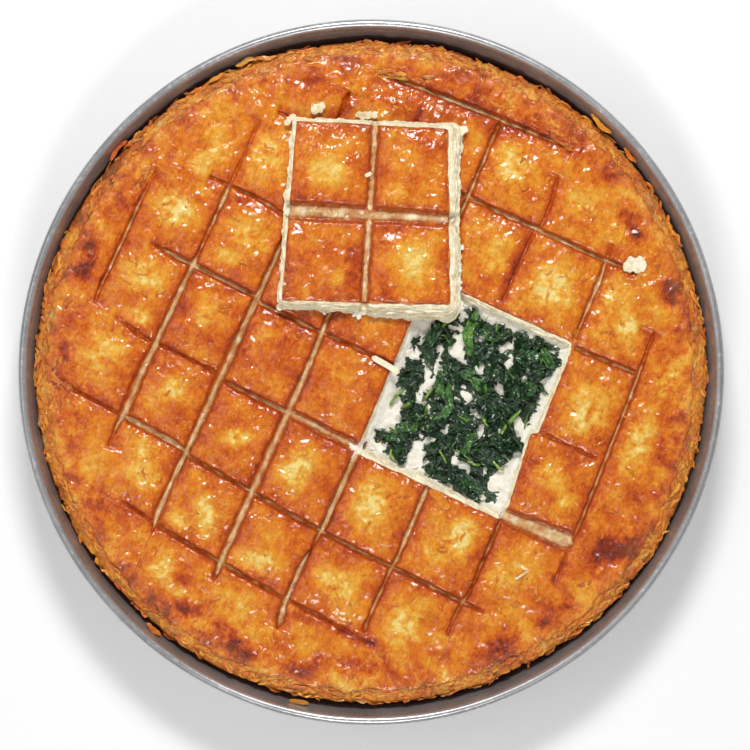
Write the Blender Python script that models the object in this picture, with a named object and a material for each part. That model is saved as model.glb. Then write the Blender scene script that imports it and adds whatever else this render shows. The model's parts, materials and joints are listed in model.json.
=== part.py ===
"""A spanakopita pie in its round baking tin, with one square portion of crust lifted out.

Metres, +Z up. The origin is the centre of the tin's underside. +X runs along the long
scores of the crust (the rows) and +Y along the scores that cross them (the columns).

Five solids: the tin, the cheese filling, the spinach over it, the scored top crust with
the opening of the lifted portion, and that portion, which lies on the crust.
"""

import math

import bmesh
import bpy
from mathutils import Matrix, Vector, noise

# ---------------------------------------------------------------- driving dimensions
TIN_RADIUS = 0.190  # to the outside of the rolled rim
TIN_HEIGHT = 0.047
SHEET = 0.0012  # thickness of the aluminium sheet
RIM_ROLL = 0.0023  # radius of the rolled rim's round section
WALL_SLOPE = 0.208  # how far the wall leans out for each unit of height
FLOOR_CORNER = 0.006  # inner radius between floor and wall

PIE_RADIUS = 0.1804  # mean radius of the crust at its widest
PIE_LEVEL = 0.033  # height at which the crust is widest
CRUST_TOP = 0.0382  # crust surface along the scores
CROWN = 0.0016  # how far the middle of a scored square stands above that
DOME = 0.0004  # the middle of the pie above its border
SKIRT = 0.007  # thickness of the crust's side wall
CHEESE_TOP = 0.024
SPINACH_TOP = 0.030  # under the crust
HEAP_TOP = 0.0322  # highest spinach in the opening
GAP = 0.0003  # between solids that touch

SCORE_DEPTH = 0.0042
PORTION_WIDTH = 0.083  # the lifted portion's browned top, two squares each way
PORTION_LENGTH = 0.096
PORTION_FLANGE = 0.0042  # how far its pale lower layers stand out all round
PORTION_THICK = 0.0118
PORTION_PLACE = (-0.0375, 0.0763)
PORTION_TURN = math.radians(23.9)

ROUND_STEPS = 80  # facets round the tin and the pie


# ---------------------------------------------------------------- the score lattice
# A column line is x = offset + lean * y, and it is cut between two values of y.
# Columns 0 and 9 and rows 0 and 8 are never cut: they only carry the lattice past the edge.
COLUMNS = (
    # offset, lean, cut from, cut to
    (-0.1920, -0.004, 0.0, 0.0),
    (-0.1510, -0.011, -0.034, 0.052),
    (-0.1116, -0.012, -0.104, 0.100),
    (-0.0726, -0.025, -0.131, 0.120),
    (-0.0317, -0.025, -0.140, 0.125),
    (0.0092, -0.029, -0.146, 0.152),
    (0.0516, -0.043, -0.131, 0.142),
    (0.0961, -0.037, -0.114, 0.110),
    (0.1356, -0.073, -0.070, 0.087),
    (0.1880, -0.080, 0.0, 0.0),
)
# A row line is y = offset + lean * x, and it is cut between two values of x.
ROWS = (
    # offset, lean, cut from, cut to
    (-0.1880, -0.060, 0.0, 0.0),
    (-0.1273, -0.051, -0.098, 0.066),
    (-0.0860, -0.047, -0.115, 0.117),
    (-0.0380, -0.016, -0.148, 0.141),
    (0.0096, -0.005, -0.143, 0.134),
    (0.0603, 0.021, -0.130, 0.132),
    (0.1078, 0.022, -0.110, 0.110),
    (0.1519, 0.070, -0.070, 0.052),
    (0.1930, 0.070, 0.0, 0.0),
)
# Where the crust's mesh has its points across one square, as shares of its width.
SQUARE_STEPS = (0.0, 0.065, 0.25, 0.75, 0.935)

# Corners of the opening at the crust's surface, counter-clockwise. The square on its right
# has slid in by a few millimetres, which makes the step in that side.
OPENING = (
    (0.0100, -0.0425),
    (0.0975, -0.0400),
    (0.0990, -0.0336),
    (0.0918, 0.0050),
    (0.0975, 0.0100),
    (0.0925, 0.0560),
    (0.0915, 0.0632),
    (0.0065, 0.0600),
)
OPENING_TAPER = 0.0030  # how far the opening's sides come in at the bottom

# Bare places in the spinach where the cheese shows: centre x, y and radius.
BARE_PLACES = (
    (0.021, -0.020, 0.0065),
    (0.037, -0.030, 0.0060),
    (0.034, 0.004, 0.0055),
    (0.046, 0.030, 0.0060),
    (0.062, -0.006, 0.0045),
    (0.082, -0.024, 0.0065),
    (0.086, 0.012, 0.0055),
)


def crossing(column, row):
    """Where a column line (offset, lean) and a row line (offset, lean) meet."""
    x = (column[0] + column[1] * row[0]) / (1 - column[1] * row[1])
    return x, row[0] + row[1] * x


def between(lines, index, share):
    """The line a share of the way from line number index to the next one."""
    near, far = lines[index], lines[min(index + 1, len(lines) - 1)]
    return tuple(a + (b - a) * share for a, b in zip(near[:2], far[:2]))


def is_cut(line, along):
    """Whether a score line is cut at this place along it."""
    return line[2] < along < line[3]


def pie_radius(angle, inset=0.0):
    """The uneven outline of the crust: a little wider one way, and wavy."""
    wide = 0.0011 * math.cos(2 * (angle - math.radians(25.5)))
    wavy = 0.0004 * math.cos(5 * angle + 1.0) + 0.0003 * math.cos(9 * angle + 2.0)
    return PIE_RADIUS + wide + wavy - inset


def square_height(u, v, crown):
    """How far the pillow of a scored square stands up at (u, v), each from 0 to 1."""
    arch = (4 * u * (1 - u)) ** 0.5 * (4 * v * (1 - v)) ** 0.5
    return crown * arch


# ---------------------------------------------------------------- helpers
def finished(name, bm, colour, roughness, metallic=0.0, smooth_angle=40.0):
    """Links a bmesh as a named object with its own material, and returns the object."""
    bmesh.ops.recalc_face_normals(bm, faces=bm.faces)
    mesh = bpy.data.meshes.new(name)
    bm.to_mesh(mesh)
    bm.free()
    mesh.shade_smooth()
    mesh.set_sharp_from_angle(angle=math.radians(smooth_angle))
    material = bpy.data.materials.new(name)
    material.use_nodes = True
    shader = material.node_tree.nodes["Principled BSDF"]
    shader.inputs["Base Color"].default_value = (*colour, 1.0)
    shader.inputs["Roughness"].default_value = roughness
    shader.inputs["Metallic"].default_value = metallic
    mesh.materials.append(material)
    made = bpy.data.objects.new(name, mesh)
    bpy.context.scene.collection.objects.link(made)
    return made


def cutter(name, bm):
    """A shape that only cuts or trims others."""
    made = finished(name, bm, (0.5, 0.5, 0.5), 0.5)
    made.hide_render = True
    made.display_type = "WIRE"
    return made


def boolean(target, operation, other):
    """Adds an exact Boolean of the other object to the target."""
    modifier = target.modifiers.new(other.name, "BOOLEAN")
    modifier.operation = operation
    modifier.object = other
    modifier.solver = "EXACT"


def loft(rings):
    """A closed bmesh through rings of points with equal counts, capped at both ends."""
    bm = bmesh.new()
    loops = [[bm.verts.new(point) for point in ring] for ring in rings]
    count = len(loops[0])
    for low, high in zip(loops, loops[1:]):
        for i in range(count):
            after = (i + 1) % count
            bm.faces.new((low[i], low[after], high[after], high[i]))
    bm.faces.new(list(reversed(loops[0])))
    bm.faces.new(loops[-1])
    return bm


def pie_ring(inset, height):
    """One ring of points that follows the crust's outline."""
    angles = [2 * math.pi * i / ROUND_STEPS for i in range(ROUND_STEPS)]
    radii = [pie_radius(a, inset) for a in angles]
    return [(r * math.cos(a), r * math.sin(a), height) for a, r in zip(angles, radii)]


def height_block(points, bottom):
    """A closed block under a grid of points, given as rows of (x, y, z)."""
    bm = bmesh.new()
    grid = [[bm.verts.new(point) for point in line] for line in points]
    for near, far in zip(grid, grid[1:]):
        for i in range(len(near) - 1):
            bm.faces.new((near[i], near[i + 1], far[i + 1], far[i]))
    under = bmesh.ops.extrude_face_region(bm, geom=bm.faces[:])["geom"]
    for item in under:
        if isinstance(item, bmesh.types.BMVert):
            item.co.z = bottom
    return bm


# ---------------------------------------------------------------- the tin
def arc(centre, radius, start, end, steps):
    """Points (radius, height) along an arc, its angles in degrees."""
    angles = [math.radians(start + (end - start) * i / steps) for i in range(steps + 1)]
    return [(centre[0] + radius * math.cos(a), centre[1] + radius * math.sin(a)) for a in angles]


def wall_radius(height):
    """Inner radius of the tin's wall at a height."""
    roll_height = TIN_HEIGHT - RIM_ROLL
    return TIN_RADIUS - 2 * RIM_ROLL - WALL_SLOPE * (roll_height - height)


def tin():
    """The baking tin: one spun sheet with a round corner and a rolled rim."""
    lean = math.degrees(math.atan(WALL_SLOPE))
    roll = (TIN_RADIUS - RIM_ROLL, TIN_HEIGHT - RIM_ROLL)
    inner_corner = (wall_radius(SHEET + FLOOR_CORNER) - FLOOR_CORNER, SHEET + FLOOR_CORNER)
    profile = [(0.0, SHEET)]
    profile += arc(inner_corner, FLOOR_CORNER, -90, -lean, 3)
    profile += arc(roll, RIM_ROLL, 180, -100, 9)
    profile += [(wall_radius(roll[1] - RIM_ROLL) + SHEET, roll[1] - RIM_ROLL)]
    profile += arc(inner_corner, FLOOR_CORNER + SHEET, -lean, -90, 3)
    profile += [(0.0, 0.0)]
    bm = bmesh.new()
    line = [bm.verts.new((r, 0.0, z)) for r, z in profile]
    edges = [bm.edges.new(pair) for pair in zip(line, line[1:])]
    bmesh.ops.spin(
        bm,
        geom=line + edges,
        cent=(0.0, 0.0, 0.0),
        axis=(0.0, 0.0, 1.0),
        angle=2 * math.pi,
        steps=ROUND_STEPS,
        use_merge=True,
    )
    bmesh.ops.remove_doubles(bm, verts=bm.verts, dist=1e-6)
    return finished("tin", bm, (0.62, 0.61, 0.60), 0.35, metallic=1.0, smooth_angle=50.0)


# ---------------------------------------------------------------- the fillings
def filling_ring(height, clearance=GAP):
    """The inside of the crust's side wall at a height, less a clearance."""
    return pie_ring(SKIRT + WALL_SLOPE * (PIE_LEVEL - height) + clearance, height)


def cheese_filling():
    """White cheese from the tin's floor up to the spinach."""
    rings = [filling_ring(SHEET + GAP), filling_ring(CHEESE_TOP)]
    return finished("cheese_filling", loft(rings), (0.93, 0.90, 0.82), 0.55)


def heap_height(x, y):
    """The uneven top of the spinach in the opening."""
    lumps = noise.noise(Vector((x, y, 0.0)) * 95.0) * 0.5 + 0.5
    return HEAP_TOP - 0.0030 * (1 - lumps)


def spinach_heap():
    """The spinach that stands in the opening, a lumpy block with an uneven outline."""
    columns, rows = 15, 17
    low, high = (0.0172, -0.0350), (0.0848, 0.0520)
    points = []
    for j in range(rows):
        line = []
        for i in range(columns):
            x = low[0] + (high[0] - low[0]) * i / (columns - 1)
            y = low[1] + (high[1] - low[1]) * j / (rows - 1)
            if i in (0, columns - 1):
                x += 0.0018 * math.sin(j * 1.9)
            if j in (0, rows - 1):
                y += 0.0018 * math.sin(i * 1.7 + 1.0)
            line.append((x, y, heap_height(x, y)))
        points.append(line)
    return cutter("spinach_heap", height_block(points, CHEESE_TOP + 0.003))


def bare_place(index, place):
    """A round, slightly uneven well down to the cheese."""
    x, y, radius = place
    sides = 10
    rings = []
    for height, grow in ((CHEESE_TOP - 0.004, 0.85), (HEAP_TOP + 0.004, 1.15)):
        ring = []
        for i in range(sides):
            angle = 2 * math.pi * i / sides
            reach = radius * grow * (1 + 0.22 * math.sin(3 * angle + 1.7 * index))
            ring.append((x + reach * math.cos(angle), y + reach * math.sin(angle), height))
        rings.append(ring)
    return cutter(f"bare_place_{index + 1}", loft(rings))


def spinach_filling():
    """The spinach layer, which runs through the pie and rises in the opening."""
    rings = [filling_ring(CHEESE_TOP + GAP), filling_ring(SPINACH_TOP)]
    made = finished("spinach_filling", loft(rings), (0.035, 0.10, 0.035), 0.45)
    boolean(made, "UNION", spinach_heap())
    for index, place in enumerate(BARE_PLACES):
        boolean(made, "DIFFERENCE", bare_place(index, place))
    return made


# ---------------------------------------------------------------- the crust
def crust_height(column, u, row, v, x, y):
    """Height of the crust in square (column, row), at (u, v) across it."""
    middle = 1 - (x * x + y * y) / PIE_RADIUS**2
    height = CRUST_TOP + DOME * max(0.0, middle)
    on_column = u == 0.0 and is_cut(COLUMNS[column], y)
    on_row = v == 0.0 and is_cut(ROWS[row], x)
    if on_column or on_row:
        return height - SCORE_DEPTH
    uneven = noise.noise(Vector((x, y, 0.0)) * 30.0) * 0.25 + 0.75
    return height + square_height(u, v, CROWN * uneven)


def crust_surface():
    """Rows of points over the whole score lattice, past the crust's edge."""
    across = [(i, u) for i in range(len(COLUMNS) - 1) for u in SQUARE_STEPS]
    across.append((len(COLUMNS) - 1, 0.0))
    along = [(j, v) for j in range(len(ROWS) - 1) for v in SQUARE_STEPS]
    along.append((len(ROWS) - 1, 0.0))
    points = []
    for j, v in along:
        line = []
        for i, u in across:
            x, y = crossing(between(COLUMNS, i, u), between(ROWS, j, v))
            line.append((x, y, crust_height(i, u, j, v, x, y)))
        points.append(line)
    return points


def crust_envelope():
    """The crust's outer shape: side wall, rounded shoulder, and room for the squares."""
    foot = SHEET + GAP
    profile = (
        # inset from the outline, height
        (0.0118, foot),
        (0.0070, foot + 0.0017),
        (WALL_SLOPE * (PIE_LEVEL - foot) - 0.0008, foot + 0.0057),
        (0.0006, PIE_LEVEL - 0.0040),
        (0.0, PIE_LEVEL),
        (0.0008, PIE_LEVEL + 0.0022),
        (0.0032, PIE_LEVEL + 0.0043),
        (0.0085, PIE_LEVEL + 0.0058),
        (0.0220, PIE_LEVEL + 0.0072),
        (0.0800, PIE_LEVEL + 0.0120),
    )
    rings = [pie_ring(inset, height) for inset, height in profile]
    return cutter("crust_envelope", loft(rings))


def crust_cavity():
    """The room inside the crust that the fillings take."""
    rings = [filling_ring(0.0, 0.0), filling_ring(SPINACH_TOP + GAP, 0.0)]
    return cutter("crust_cavity", loft(rings))


def opening_cutter():
    """The opening of the lifted portion, narrower towards the bottom."""
    middle = sum((Vector(p) for p in OPENING), Vector((0.0, 0.0))) / len(OPENING)
    depth = CRUST_TOP - SPINACH_TOP
    rings = []
    for height in (SPINACH_TOP - 0.004, CRUST_TOP + 0.004):
        inset = OPENING_TAPER * (CRUST_TOP - height) / depth
        ring = []
        for corner in OPENING:
            out = Vector(corner) - middle
            x, y = Vector(corner) - Vector((math.copysign(inset, out.x), math.copysign(inset, out.y)))
            ring.append((x, y, height))
        rings.append(ring)
    return cutter("opening", loft(rings))


def top_crust():
    """The scored crust: pillowed squares, a rounded border, a side wall and the opening."""
    block = height_block(crust_surface(), -0.004)
    made = finished("top_crust", block, (0.72, 0.30, 0.07), 0.35, smooth_angle=30.0)
    boolean(made, "INTERSECT", crust_envelope())
    boolean(made, "DIFFERENCE", crust_cavity())
    boolean(made, "DIFFERENCE", opening_cutter())
    return made


# ---------------------------------------------------------------- the lifted portion
def portion_steps(half, kerf):
    """Points across the portion: (place, level), where level 0 is the base and 1 the crust.

    The pale lower layers stand out at both ends, and one score crosses the middle.
    """
    side = [(-half - PORTION_FLANGE, 0.0), (-half - 0.6 * PORTION_FLANGE, 0.25), (-half, 0.90)]
    square = [(-half + 0.0025, 1.0), (-half * 0.70, 1.0), (-half * 0.35, 1.0), (-kerf, 0.96)]
    near = side + square + [(-kerf * 0.55, 0.60)]
    far = [(-place, level) for place, level in reversed(near)]
    return near + far


def lifted_portion():
    """The portion that was cut out: four squares of crust on their pale lower layers."""
    foot = 0.0010
    columns = portion_steps(PORTION_WIDTH / 2, 0.0020)
    rows = portion_steps(PORTION_LENGTH / 2, 0.0042)
    body = PORTION_THICK - CROWN - foot
    points = []
    for y, row_level in rows:
        line = []
        for x, column_level in columns:
            level = min(row_level, column_level)
            u = abs(x) / (PORTION_WIDTH / 2)
            v = abs(y) / (PORTION_LENGTH / 2)
            puff = square_height(u, v, CROWN) if u < 1 and v < 1 and level == 1.0 else 0.0
            line.append((x, y, foot + body * level + puff))
        points.append(line)
    made = finished("lifted_portion", height_block(points, 0.0), (0.78, 0.36, 0.09), 0.35)
    rest = CRUST_TOP + CROWN + DOME + GAP
    turn = Matrix.Rotation(PORTION_TURN, 4, "Z")
    made.matrix_world = Matrix.Translation((*PORTION_PLACE, rest)) @ turn
    return made


def main():
    """Clears the scene and builds the five solids."""
    for old in list(bpy.data.objects):
        bpy.data.objects.remove(old)
    tin()
    cheese_filling()
    spinach_filling()
    top_crust()
    lifted_portion()


main()
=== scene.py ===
"""Looks of a spanakopita pie in its round baking tin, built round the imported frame.

Metres, +Z up, origin at the centre of the tin's underside. The knife lines of the crust run
along X (the rows) and across them along Y (the columns).
"""

import json
import logging
import math
from dataclasses import dataclass, field
from enum import Enum
from typing import Callable

import bmesh
import bpy
import numpy as np
from mathutils import Matrix, Vector

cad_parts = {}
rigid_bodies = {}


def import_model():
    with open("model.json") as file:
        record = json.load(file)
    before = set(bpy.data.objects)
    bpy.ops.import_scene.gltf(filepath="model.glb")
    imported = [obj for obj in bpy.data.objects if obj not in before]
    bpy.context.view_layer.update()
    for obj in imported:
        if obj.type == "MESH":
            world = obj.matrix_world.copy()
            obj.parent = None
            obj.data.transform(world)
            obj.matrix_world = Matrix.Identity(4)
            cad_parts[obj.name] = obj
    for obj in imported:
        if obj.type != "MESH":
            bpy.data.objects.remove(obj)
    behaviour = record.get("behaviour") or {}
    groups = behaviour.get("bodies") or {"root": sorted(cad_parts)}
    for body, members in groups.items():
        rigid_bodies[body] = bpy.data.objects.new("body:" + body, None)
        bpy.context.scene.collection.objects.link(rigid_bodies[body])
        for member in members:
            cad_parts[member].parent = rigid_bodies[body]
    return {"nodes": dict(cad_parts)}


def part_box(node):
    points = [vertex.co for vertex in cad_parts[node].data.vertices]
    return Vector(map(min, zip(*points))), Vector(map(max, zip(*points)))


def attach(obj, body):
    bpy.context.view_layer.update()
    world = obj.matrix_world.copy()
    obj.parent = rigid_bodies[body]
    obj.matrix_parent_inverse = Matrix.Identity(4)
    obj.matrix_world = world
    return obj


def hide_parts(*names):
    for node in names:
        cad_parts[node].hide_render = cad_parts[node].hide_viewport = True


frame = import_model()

LOG = logging.getLogger("pie")
Array = np.ndarray
Stops = tuple[tuple[float, tuple[float, float, float]], ...]

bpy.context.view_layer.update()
TIN_LOW, TIN_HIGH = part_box("tin")

TIN_RADIUS = (TIN_HIGH.x - TIN_LOW.x) / 2
TIN_HEIGHT = TIN_HIGH.z
SHEET = 0.0012  # thickness of the tin's aluminium
RIM_ROLL = 0.0023  # radius of the rolled rim's section
WALL_SLOPE = 0.208  # how far the wall leans out for each unit of height
FLOOR_CORNER = 0.006  # inner radius between floor and wall

PIE_RADIUS = 0.1806  # mean radius of the crust at its widest
PIE_LEVEL = 0.033  # height at which the crust is widest
CRUST_TOP = 0.0382  # crust surface along the scores
CROWN = 0.0016  # how far the middle of a square stands above that
DOME = 0.0004  # the middle of the pie above its border
LAYERS_FOOT = 0.0308  # where the crust's layers end over the filling
CHEESE_LEVEL = 0.0292  # the cheese in the opening
SPINACH_LEVEL = 0.0308  # middle of the spinach over it

PIE_TURN = math.radians(25.5)  # of the camera's upward side against the scores
ARC = 0.17  # metres of pattern for each radian round the border
EDGE_STEP = 0.0007  # between points along a torn edge
SKIRT_DROP = 0.0014  # how far the edge of a glazed sheet hangs down
UNDER_GLAZE = 0.0008  # from the glazed sheet down to the layers under it
FAR_OUTSIDE = 0.05  # depth outside a gap where there is no gap near


# ---------------------------------------------------------------- numbers over a surface
def smooth(low: float, high: float, value: Array) -> Array:
    """A soft step from 0 at low to 1 at high.

    Args:
        low: where the step starts.
        high: where it ends; it may be below low, which turns the step round.
        value: the values to step.

    Returns:
        The step's height at each value.
    """
    share = np.clip((value - low) / (high - low), 0.0, 1.0)
    return share * share * (3.0 - 2.0 * share)


class Grain:
    """Smooth random hills over a plane, the same on each run."""

    def __init__(self, seed: int) -> None:
        """Shuffles the hills' directions from a seed."""
        maker = np.random.default_rng(seed)
        self.order = np.tile(maker.permutation(256), 2)
        angle = maker.uniform(0.0, 2.0 * np.pi, 256)
        self.slopes = np.stack([np.cos(angle), np.sin(angle)], axis=-1)

    def hills(self, x: Array, y: Array, size: float) -> Array:
        """Hills of one size, from about -1 to 1.

        Args:
            x: places along X.
            y: places along Y.
            size: width of one hill.

        Returns:
            The height at each place.
        """
        x, y = np.asarray(x) / size + 37.3, np.asarray(y) / size + 11.9
        i, j = np.floor(x).astype(int), np.floor(y).astype(int)
        u, v = x - i, y - j

        def corner(a: int, b: int) -> Array:
            """The slope from one corner of the cell."""
            slope = self.slopes[self.order[self.order[(i + a) & 255] + ((j + b) & 255)]]
            return slope[..., 0] * (u - a) + slope[..., 1] * (v - b)

        fade_u, fade_v = u**3 * (u * (u * 6 - 15) + 10), v**3 * (v * (v * 6 - 15) + 10)
        near = corner(0, 0) * (1 - fade_u) + corner(1, 0) * fade_u
        far = corner(0, 1) * (1 - fade_u) + corner(1, 1) * fade_u
        return 1.5 * (near * (1 - fade_v) + far * fade_v)

    def rough(self, x: Array, y: Array, size: float, layers: int = 3, keep: float = 0.5) -> Array:
        """Hills on hills.

        Args:
            x: places along X.
            y: places along Y.
            size: width of the largest hills.
            layers: how many sizes, each half the one before.
            keep: height of each size as a share of the one before.

        Returns:
            The height at each place, from about -1 to 1.
        """
        total, height = np.zeros(np.broadcast(x, y).shape), 1.0
        for layer in range(layers):
            total += height * self.hills(x + 0.31 * layer, y - 0.17 * layer, size / 2**layer)
            height *= keep
        return total

    def flakes(self, x: Array, y: Array, size: float, steps: float,
               edge: float = 0.25) -> tuple[Array, Array]:
        """Overlapping thin leaves with torn edges.

        Args:
            x: places along X.
            y: places along Y.
            size: width of a leaf.
            steps: how many leaves lie one over another.
            edge: share of a leaf over which its edge falls away.

        Returns:
            The height, in leaves, and a number from 0 to 1 that differs from leaf to leaf.
        """
        warp = 0.35 * size
        wx = x + warp * self.rough(x, y, size * 0.5, 3)
        wy = y + warp * self.rough(y + 0.7, x, size * 0.5, 3)
        stack = (self.rough(wx, wy, size, 2) * 0.5 + 0.5) * steps
        leaf = np.floor(stack)
        height = leaf + smooth(1.0 - edge, 1.0, stack - leaf)
        return height - 0.5 * steps, np.modf(np.abs(np.sin(leaf * 12.9898) * 43758.5453))[0]


def spots(x: Array, y: Array, places: tuple[tuple[float, ...], ...]) -> Array:
    """Soft oval patches.

    Args:
        x: places along X.
        y: places along Y.
        places: for each patch, in millimetres, its centre x and y and half its length and
            width, then its turn in degrees and its strength.

    Returns:
        The sum of the patches at each place.
    """
    total = np.zeros(np.broadcast(x, y).shape)
    for *sizes, turn, strength in places:
        cx, cy, long, wide = (size / 1000 for size in sizes)
        c, s = math.cos(math.radians(turn)), math.sin(math.radians(turn))
        along, across = (x - cx) * c + (y - cy) * s, (y - cy) * c - (x - cx) * s
        total += strength * np.exp(-((along / long) ** 2 + (across / wide) ** 2) ** 1.5)
    return total


def in_metres(points: tuple[tuple[float, ...], ...]) -> tuple[tuple[float, ...], ...]:
    """Points or sizes given in millimetres, in metres."""
    return tuple(tuple(part / 1000 for part in point) for point in points)


def as_points(x: Array, y: Array, z: Array) -> Array:
    """Places given by their coordinates, as rows of x, y and z."""
    return np.stack([x, y, z], axis=-1).reshape(-1, 3)


def crust_values(tone: Array, pale: Array, dry: Array | float) -> dict[str, Array]:
    """What the crust's material reads from the mesh.

    Args:
        tone: how brown each point is.
        pale: how far pale layers show there.
        dry: how dry and flaky it is there.

    Returns:
        The values, held between 0 and 1.
    """
    named = {"tone": tone, "pale": pale, "dry": np.broadcast_to(dry, tone.shape)}
    return {key: np.clip(value, 0, 1).ravel() for key, value in named.items()}


@dataclass
class Outline:
    """A closed outline of straight runs, counter-clockwise."""

    corners: tuple[tuple[float, float], ...]

    def depth(self, x: Array, y: Array) -> Array:
        """How far each place lies inside the outline; it is negative outside."""
        nearest, inside = np.full(x.shape, 1.0), np.zeros(x.shape, dtype=bool)
        ring = list(self.corners)
        for (ax, ay), (bx, by) in zip(ring, ring[1:] + ring[:1]):
            ex, ey = bx - ax, by - ay
            share = np.clip(((x - ax) * ex + (y - ay) * ey) / (ex * ex + ey * ey), 0.0, 1.0)
            nearest = np.minimum(nearest, np.hypot(x - ax - share * ex, y - ay - share * ey))
            crosses = (ay > y) != (by > y)
            inside ^= crosses & (x < ax + (y - ay) * ex / (ey if abs(ey) > 1e-12 else 1e-12))
        return np.where(inside, nearest, -nearest)

    def path(self, spacing: float, round_over: int) -> tuple[Array, Array]:
        """Points along the outline with soft corners.

        Args:
            spacing: distance between points.
            round_over: how many points a corner is softened over.

        Returns:
            The points and the directions that point out of the outline there.
        """
        ring, points = list(self.corners), []
        for (ax, ay), (bx, by) in zip(ring, ring[1:] + ring[:1]):
            count = max(2, round(math.hypot(bx - ax, by - ay) / spacing))
            points += [(ax + (bx - ax) * k / count, ay + (by - ay) * k / count) for k in range(count)]
        line = np.array(points)
        for _ in range(round_over):
            line = (np.roll(line, 1, 0) + 2 * line + np.roll(line, -1, 0)) / 4
        along = np.roll(line, -3, 0) - np.roll(line, 3, 0)
        out = np.stack([along[:, 1], -along[:, 0]], axis=-1)
        return line, out / np.linalg.norm(out, axis=1, keepdims=True)


# ---------------------------------------------------------------- meshes
@dataclass
class Surface:
    """A mesh held as arrays, with a value of each kind at each point."""

    points: Array
    faces: list[Array]
    values: dict[str, Array] = field(default_factory=dict)

    def piece(self, name: str, finish: bpy.types.Material) -> bpy.types.Object:
        """Makes the mesh a named object with one material."""
        mesh = bpy.data.meshes.new(name)
        mesh.vertices.add(len(self.points))
        mesh.vertices.foreach_set("co", self.points.astype(np.float32).ravel())
        sizes = np.concatenate([np.full(len(part), part.shape[1]) for part in self.faces])
        corners = np.concatenate([part.ravel() for part in self.faces]).astype(np.int32)
        mesh.loops.add(len(corners))
        mesh.loops.foreach_set("vertex_index", corners)
        mesh.polygons.add(len(sizes))
        starts = np.concatenate([[0], np.cumsum(sizes)[:-1]]).astype(np.int32)
        mesh.polygons.foreach_set("loop_start", starts)
        for key, value in self.values.items():
            layer = mesh.attributes.new(key, "FLOAT", "POINT")
            layer.data.foreach_set("value", np.broadcast_to(value, len(self.points)).astype(np.float32))
        mesh.update(calc_edges=True)
        mesh.validate()
        mesh.shade_smooth()
        mesh.materials.append(finish)
        made = bpy.data.objects.new(name, mesh)
        bpy.context.scene.collection.objects.link(made)
        return made

    def open_edges(self) -> Array:
        """The edges that only one face has, as pairs of point numbers."""
        ends = np.concatenate([
            np.stack([part[:, k], part[:, (k + 1) % part.shape[1]]], axis=-1)
            for part in self.faces for k in range(part.shape[1])
        ]).astype(np.int64)
        count = len(self.points)
        return ends[~np.isin(ends[:, 0] * count + ends[:, 1], ends[:, 1] * count + ends[:, 0])]

    def skirted(self, drop: float) -> "Surface":
        """The same surface with a strip that hangs from each open edge."""
        edge, count = self.open_edges(), len(self.points)
        rim, where = np.unique(edge, return_inverse=True)
        where = where.reshape(edge.shape)
        low = self.points[rim] - (0.0, 0.0, drop)
        strip = np.stack([edge[:, 1], edge[:, 0], where[:, 0] + count, where[:, 1] + count], axis=-1)
        values = {k: np.concatenate([np.broadcast_to(v, count), np.broadcast_to(v, count)[rim]])
                  for k, v in self.values.items()}
        return Surface(np.concatenate([self.points, low]), [*self.faces, strip], values)

    def thickened(self, thickness: float) -> "Surface":
        """The same sheet closed underneath, as a solid."""
        edge, count = self.open_edges(), len(self.points)
        sides = np.stack([edge[:, 1], edge[:, 0], edge[:, 0] + count, edge[:, 1] + count], axis=-1)
        under = [part[:, ::-1] + count for part in self.faces]
        values = {k: np.tile(np.broadcast_to(v, count), 2) for k, v in self.values.items()}
        low = self.points - (0.0, 0.0, thickness)
        return Surface(np.concatenate([self.points, low]), [*self.faces, *under, sides], values)

    def put(self, place: tuple[float, float, float], turn: float = 0.0, tilt: float = 0.0) -> "Surface":
        """A copy elsewhere.

        Args:
            place: where its origin goes.
            turn: its turn about Z, in degrees.
            tilt: its turn about its own X first, in degrees.

        Returns:
            The copy.
        """
        turned = Matrix.Rotation(math.radians(turn), 3, "Z") @ Matrix.Rotation(math.radians(tilt), 3, "X")
        return Surface(self.points @ np.array(turned).T + np.array(place), self.faces, self.values)

    def only(self, keep: Array) -> "Surface":
        """The part of the surface whose quads are kept."""
        faces = self.faces[0][keep]
        used, where = np.unique(faces, return_inverse=True)
        values = {k: np.broadcast_to(v, len(self.points))[used] for k, v in self.values.items()}
        return Surface(self.points[used], [where.reshape(faces.shape)], values)


def grid_faces(lines: int, across: int, ring: bool = False) -> Array:
    """Quads over a grid of points.

    Args:
        lines: how many lines of points.
        across: how many points in each line.
        ring: whether each line closes on itself.

    Returns:
        Four point numbers for each quad.
    """
    j, i = np.meshgrid(np.arange(lines - 1), np.arange(across if ring else across - 1), indexing="ij")
    after = (i + 1) % across
    low, high = j * across, (j + 1) * across
    return np.stack([low + i, low + after, high + after, high + i], -1).reshape(-1, 4)


def closed_faces(lines: int, around: int) -> Array:
    """Quads over rings of points whose last ring joins the first.

    Args:
        lines: how many rings.
        around: how many points in each ring.

    Returns:
        Four point numbers for each quad.
    """
    here = np.arange(around)
    after, last = (here + 1) % around, (lines - 1) * around
    seam = np.stack([last + here, last + after, after, here], axis=-1)
    return np.concatenate([grid_faces(lines, around, ring=True), seam])


def joined(parts: list[Surface]) -> Surface:
    """Several surfaces as one."""
    faces, values, start = [], {key: [] for key in parts[0].values}, 0
    for part in parts:
        faces += [group + start for group in part.faces]
        start += len(part.points)
        for key in values:
            values[key].append(np.broadcast_to(part.values[key], len(part.points)))
    return Surface(
        np.concatenate([part.points for part in parts]), faces,
        {key: np.concatenate(lists) for key, lists in values.items()},
    )


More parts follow.
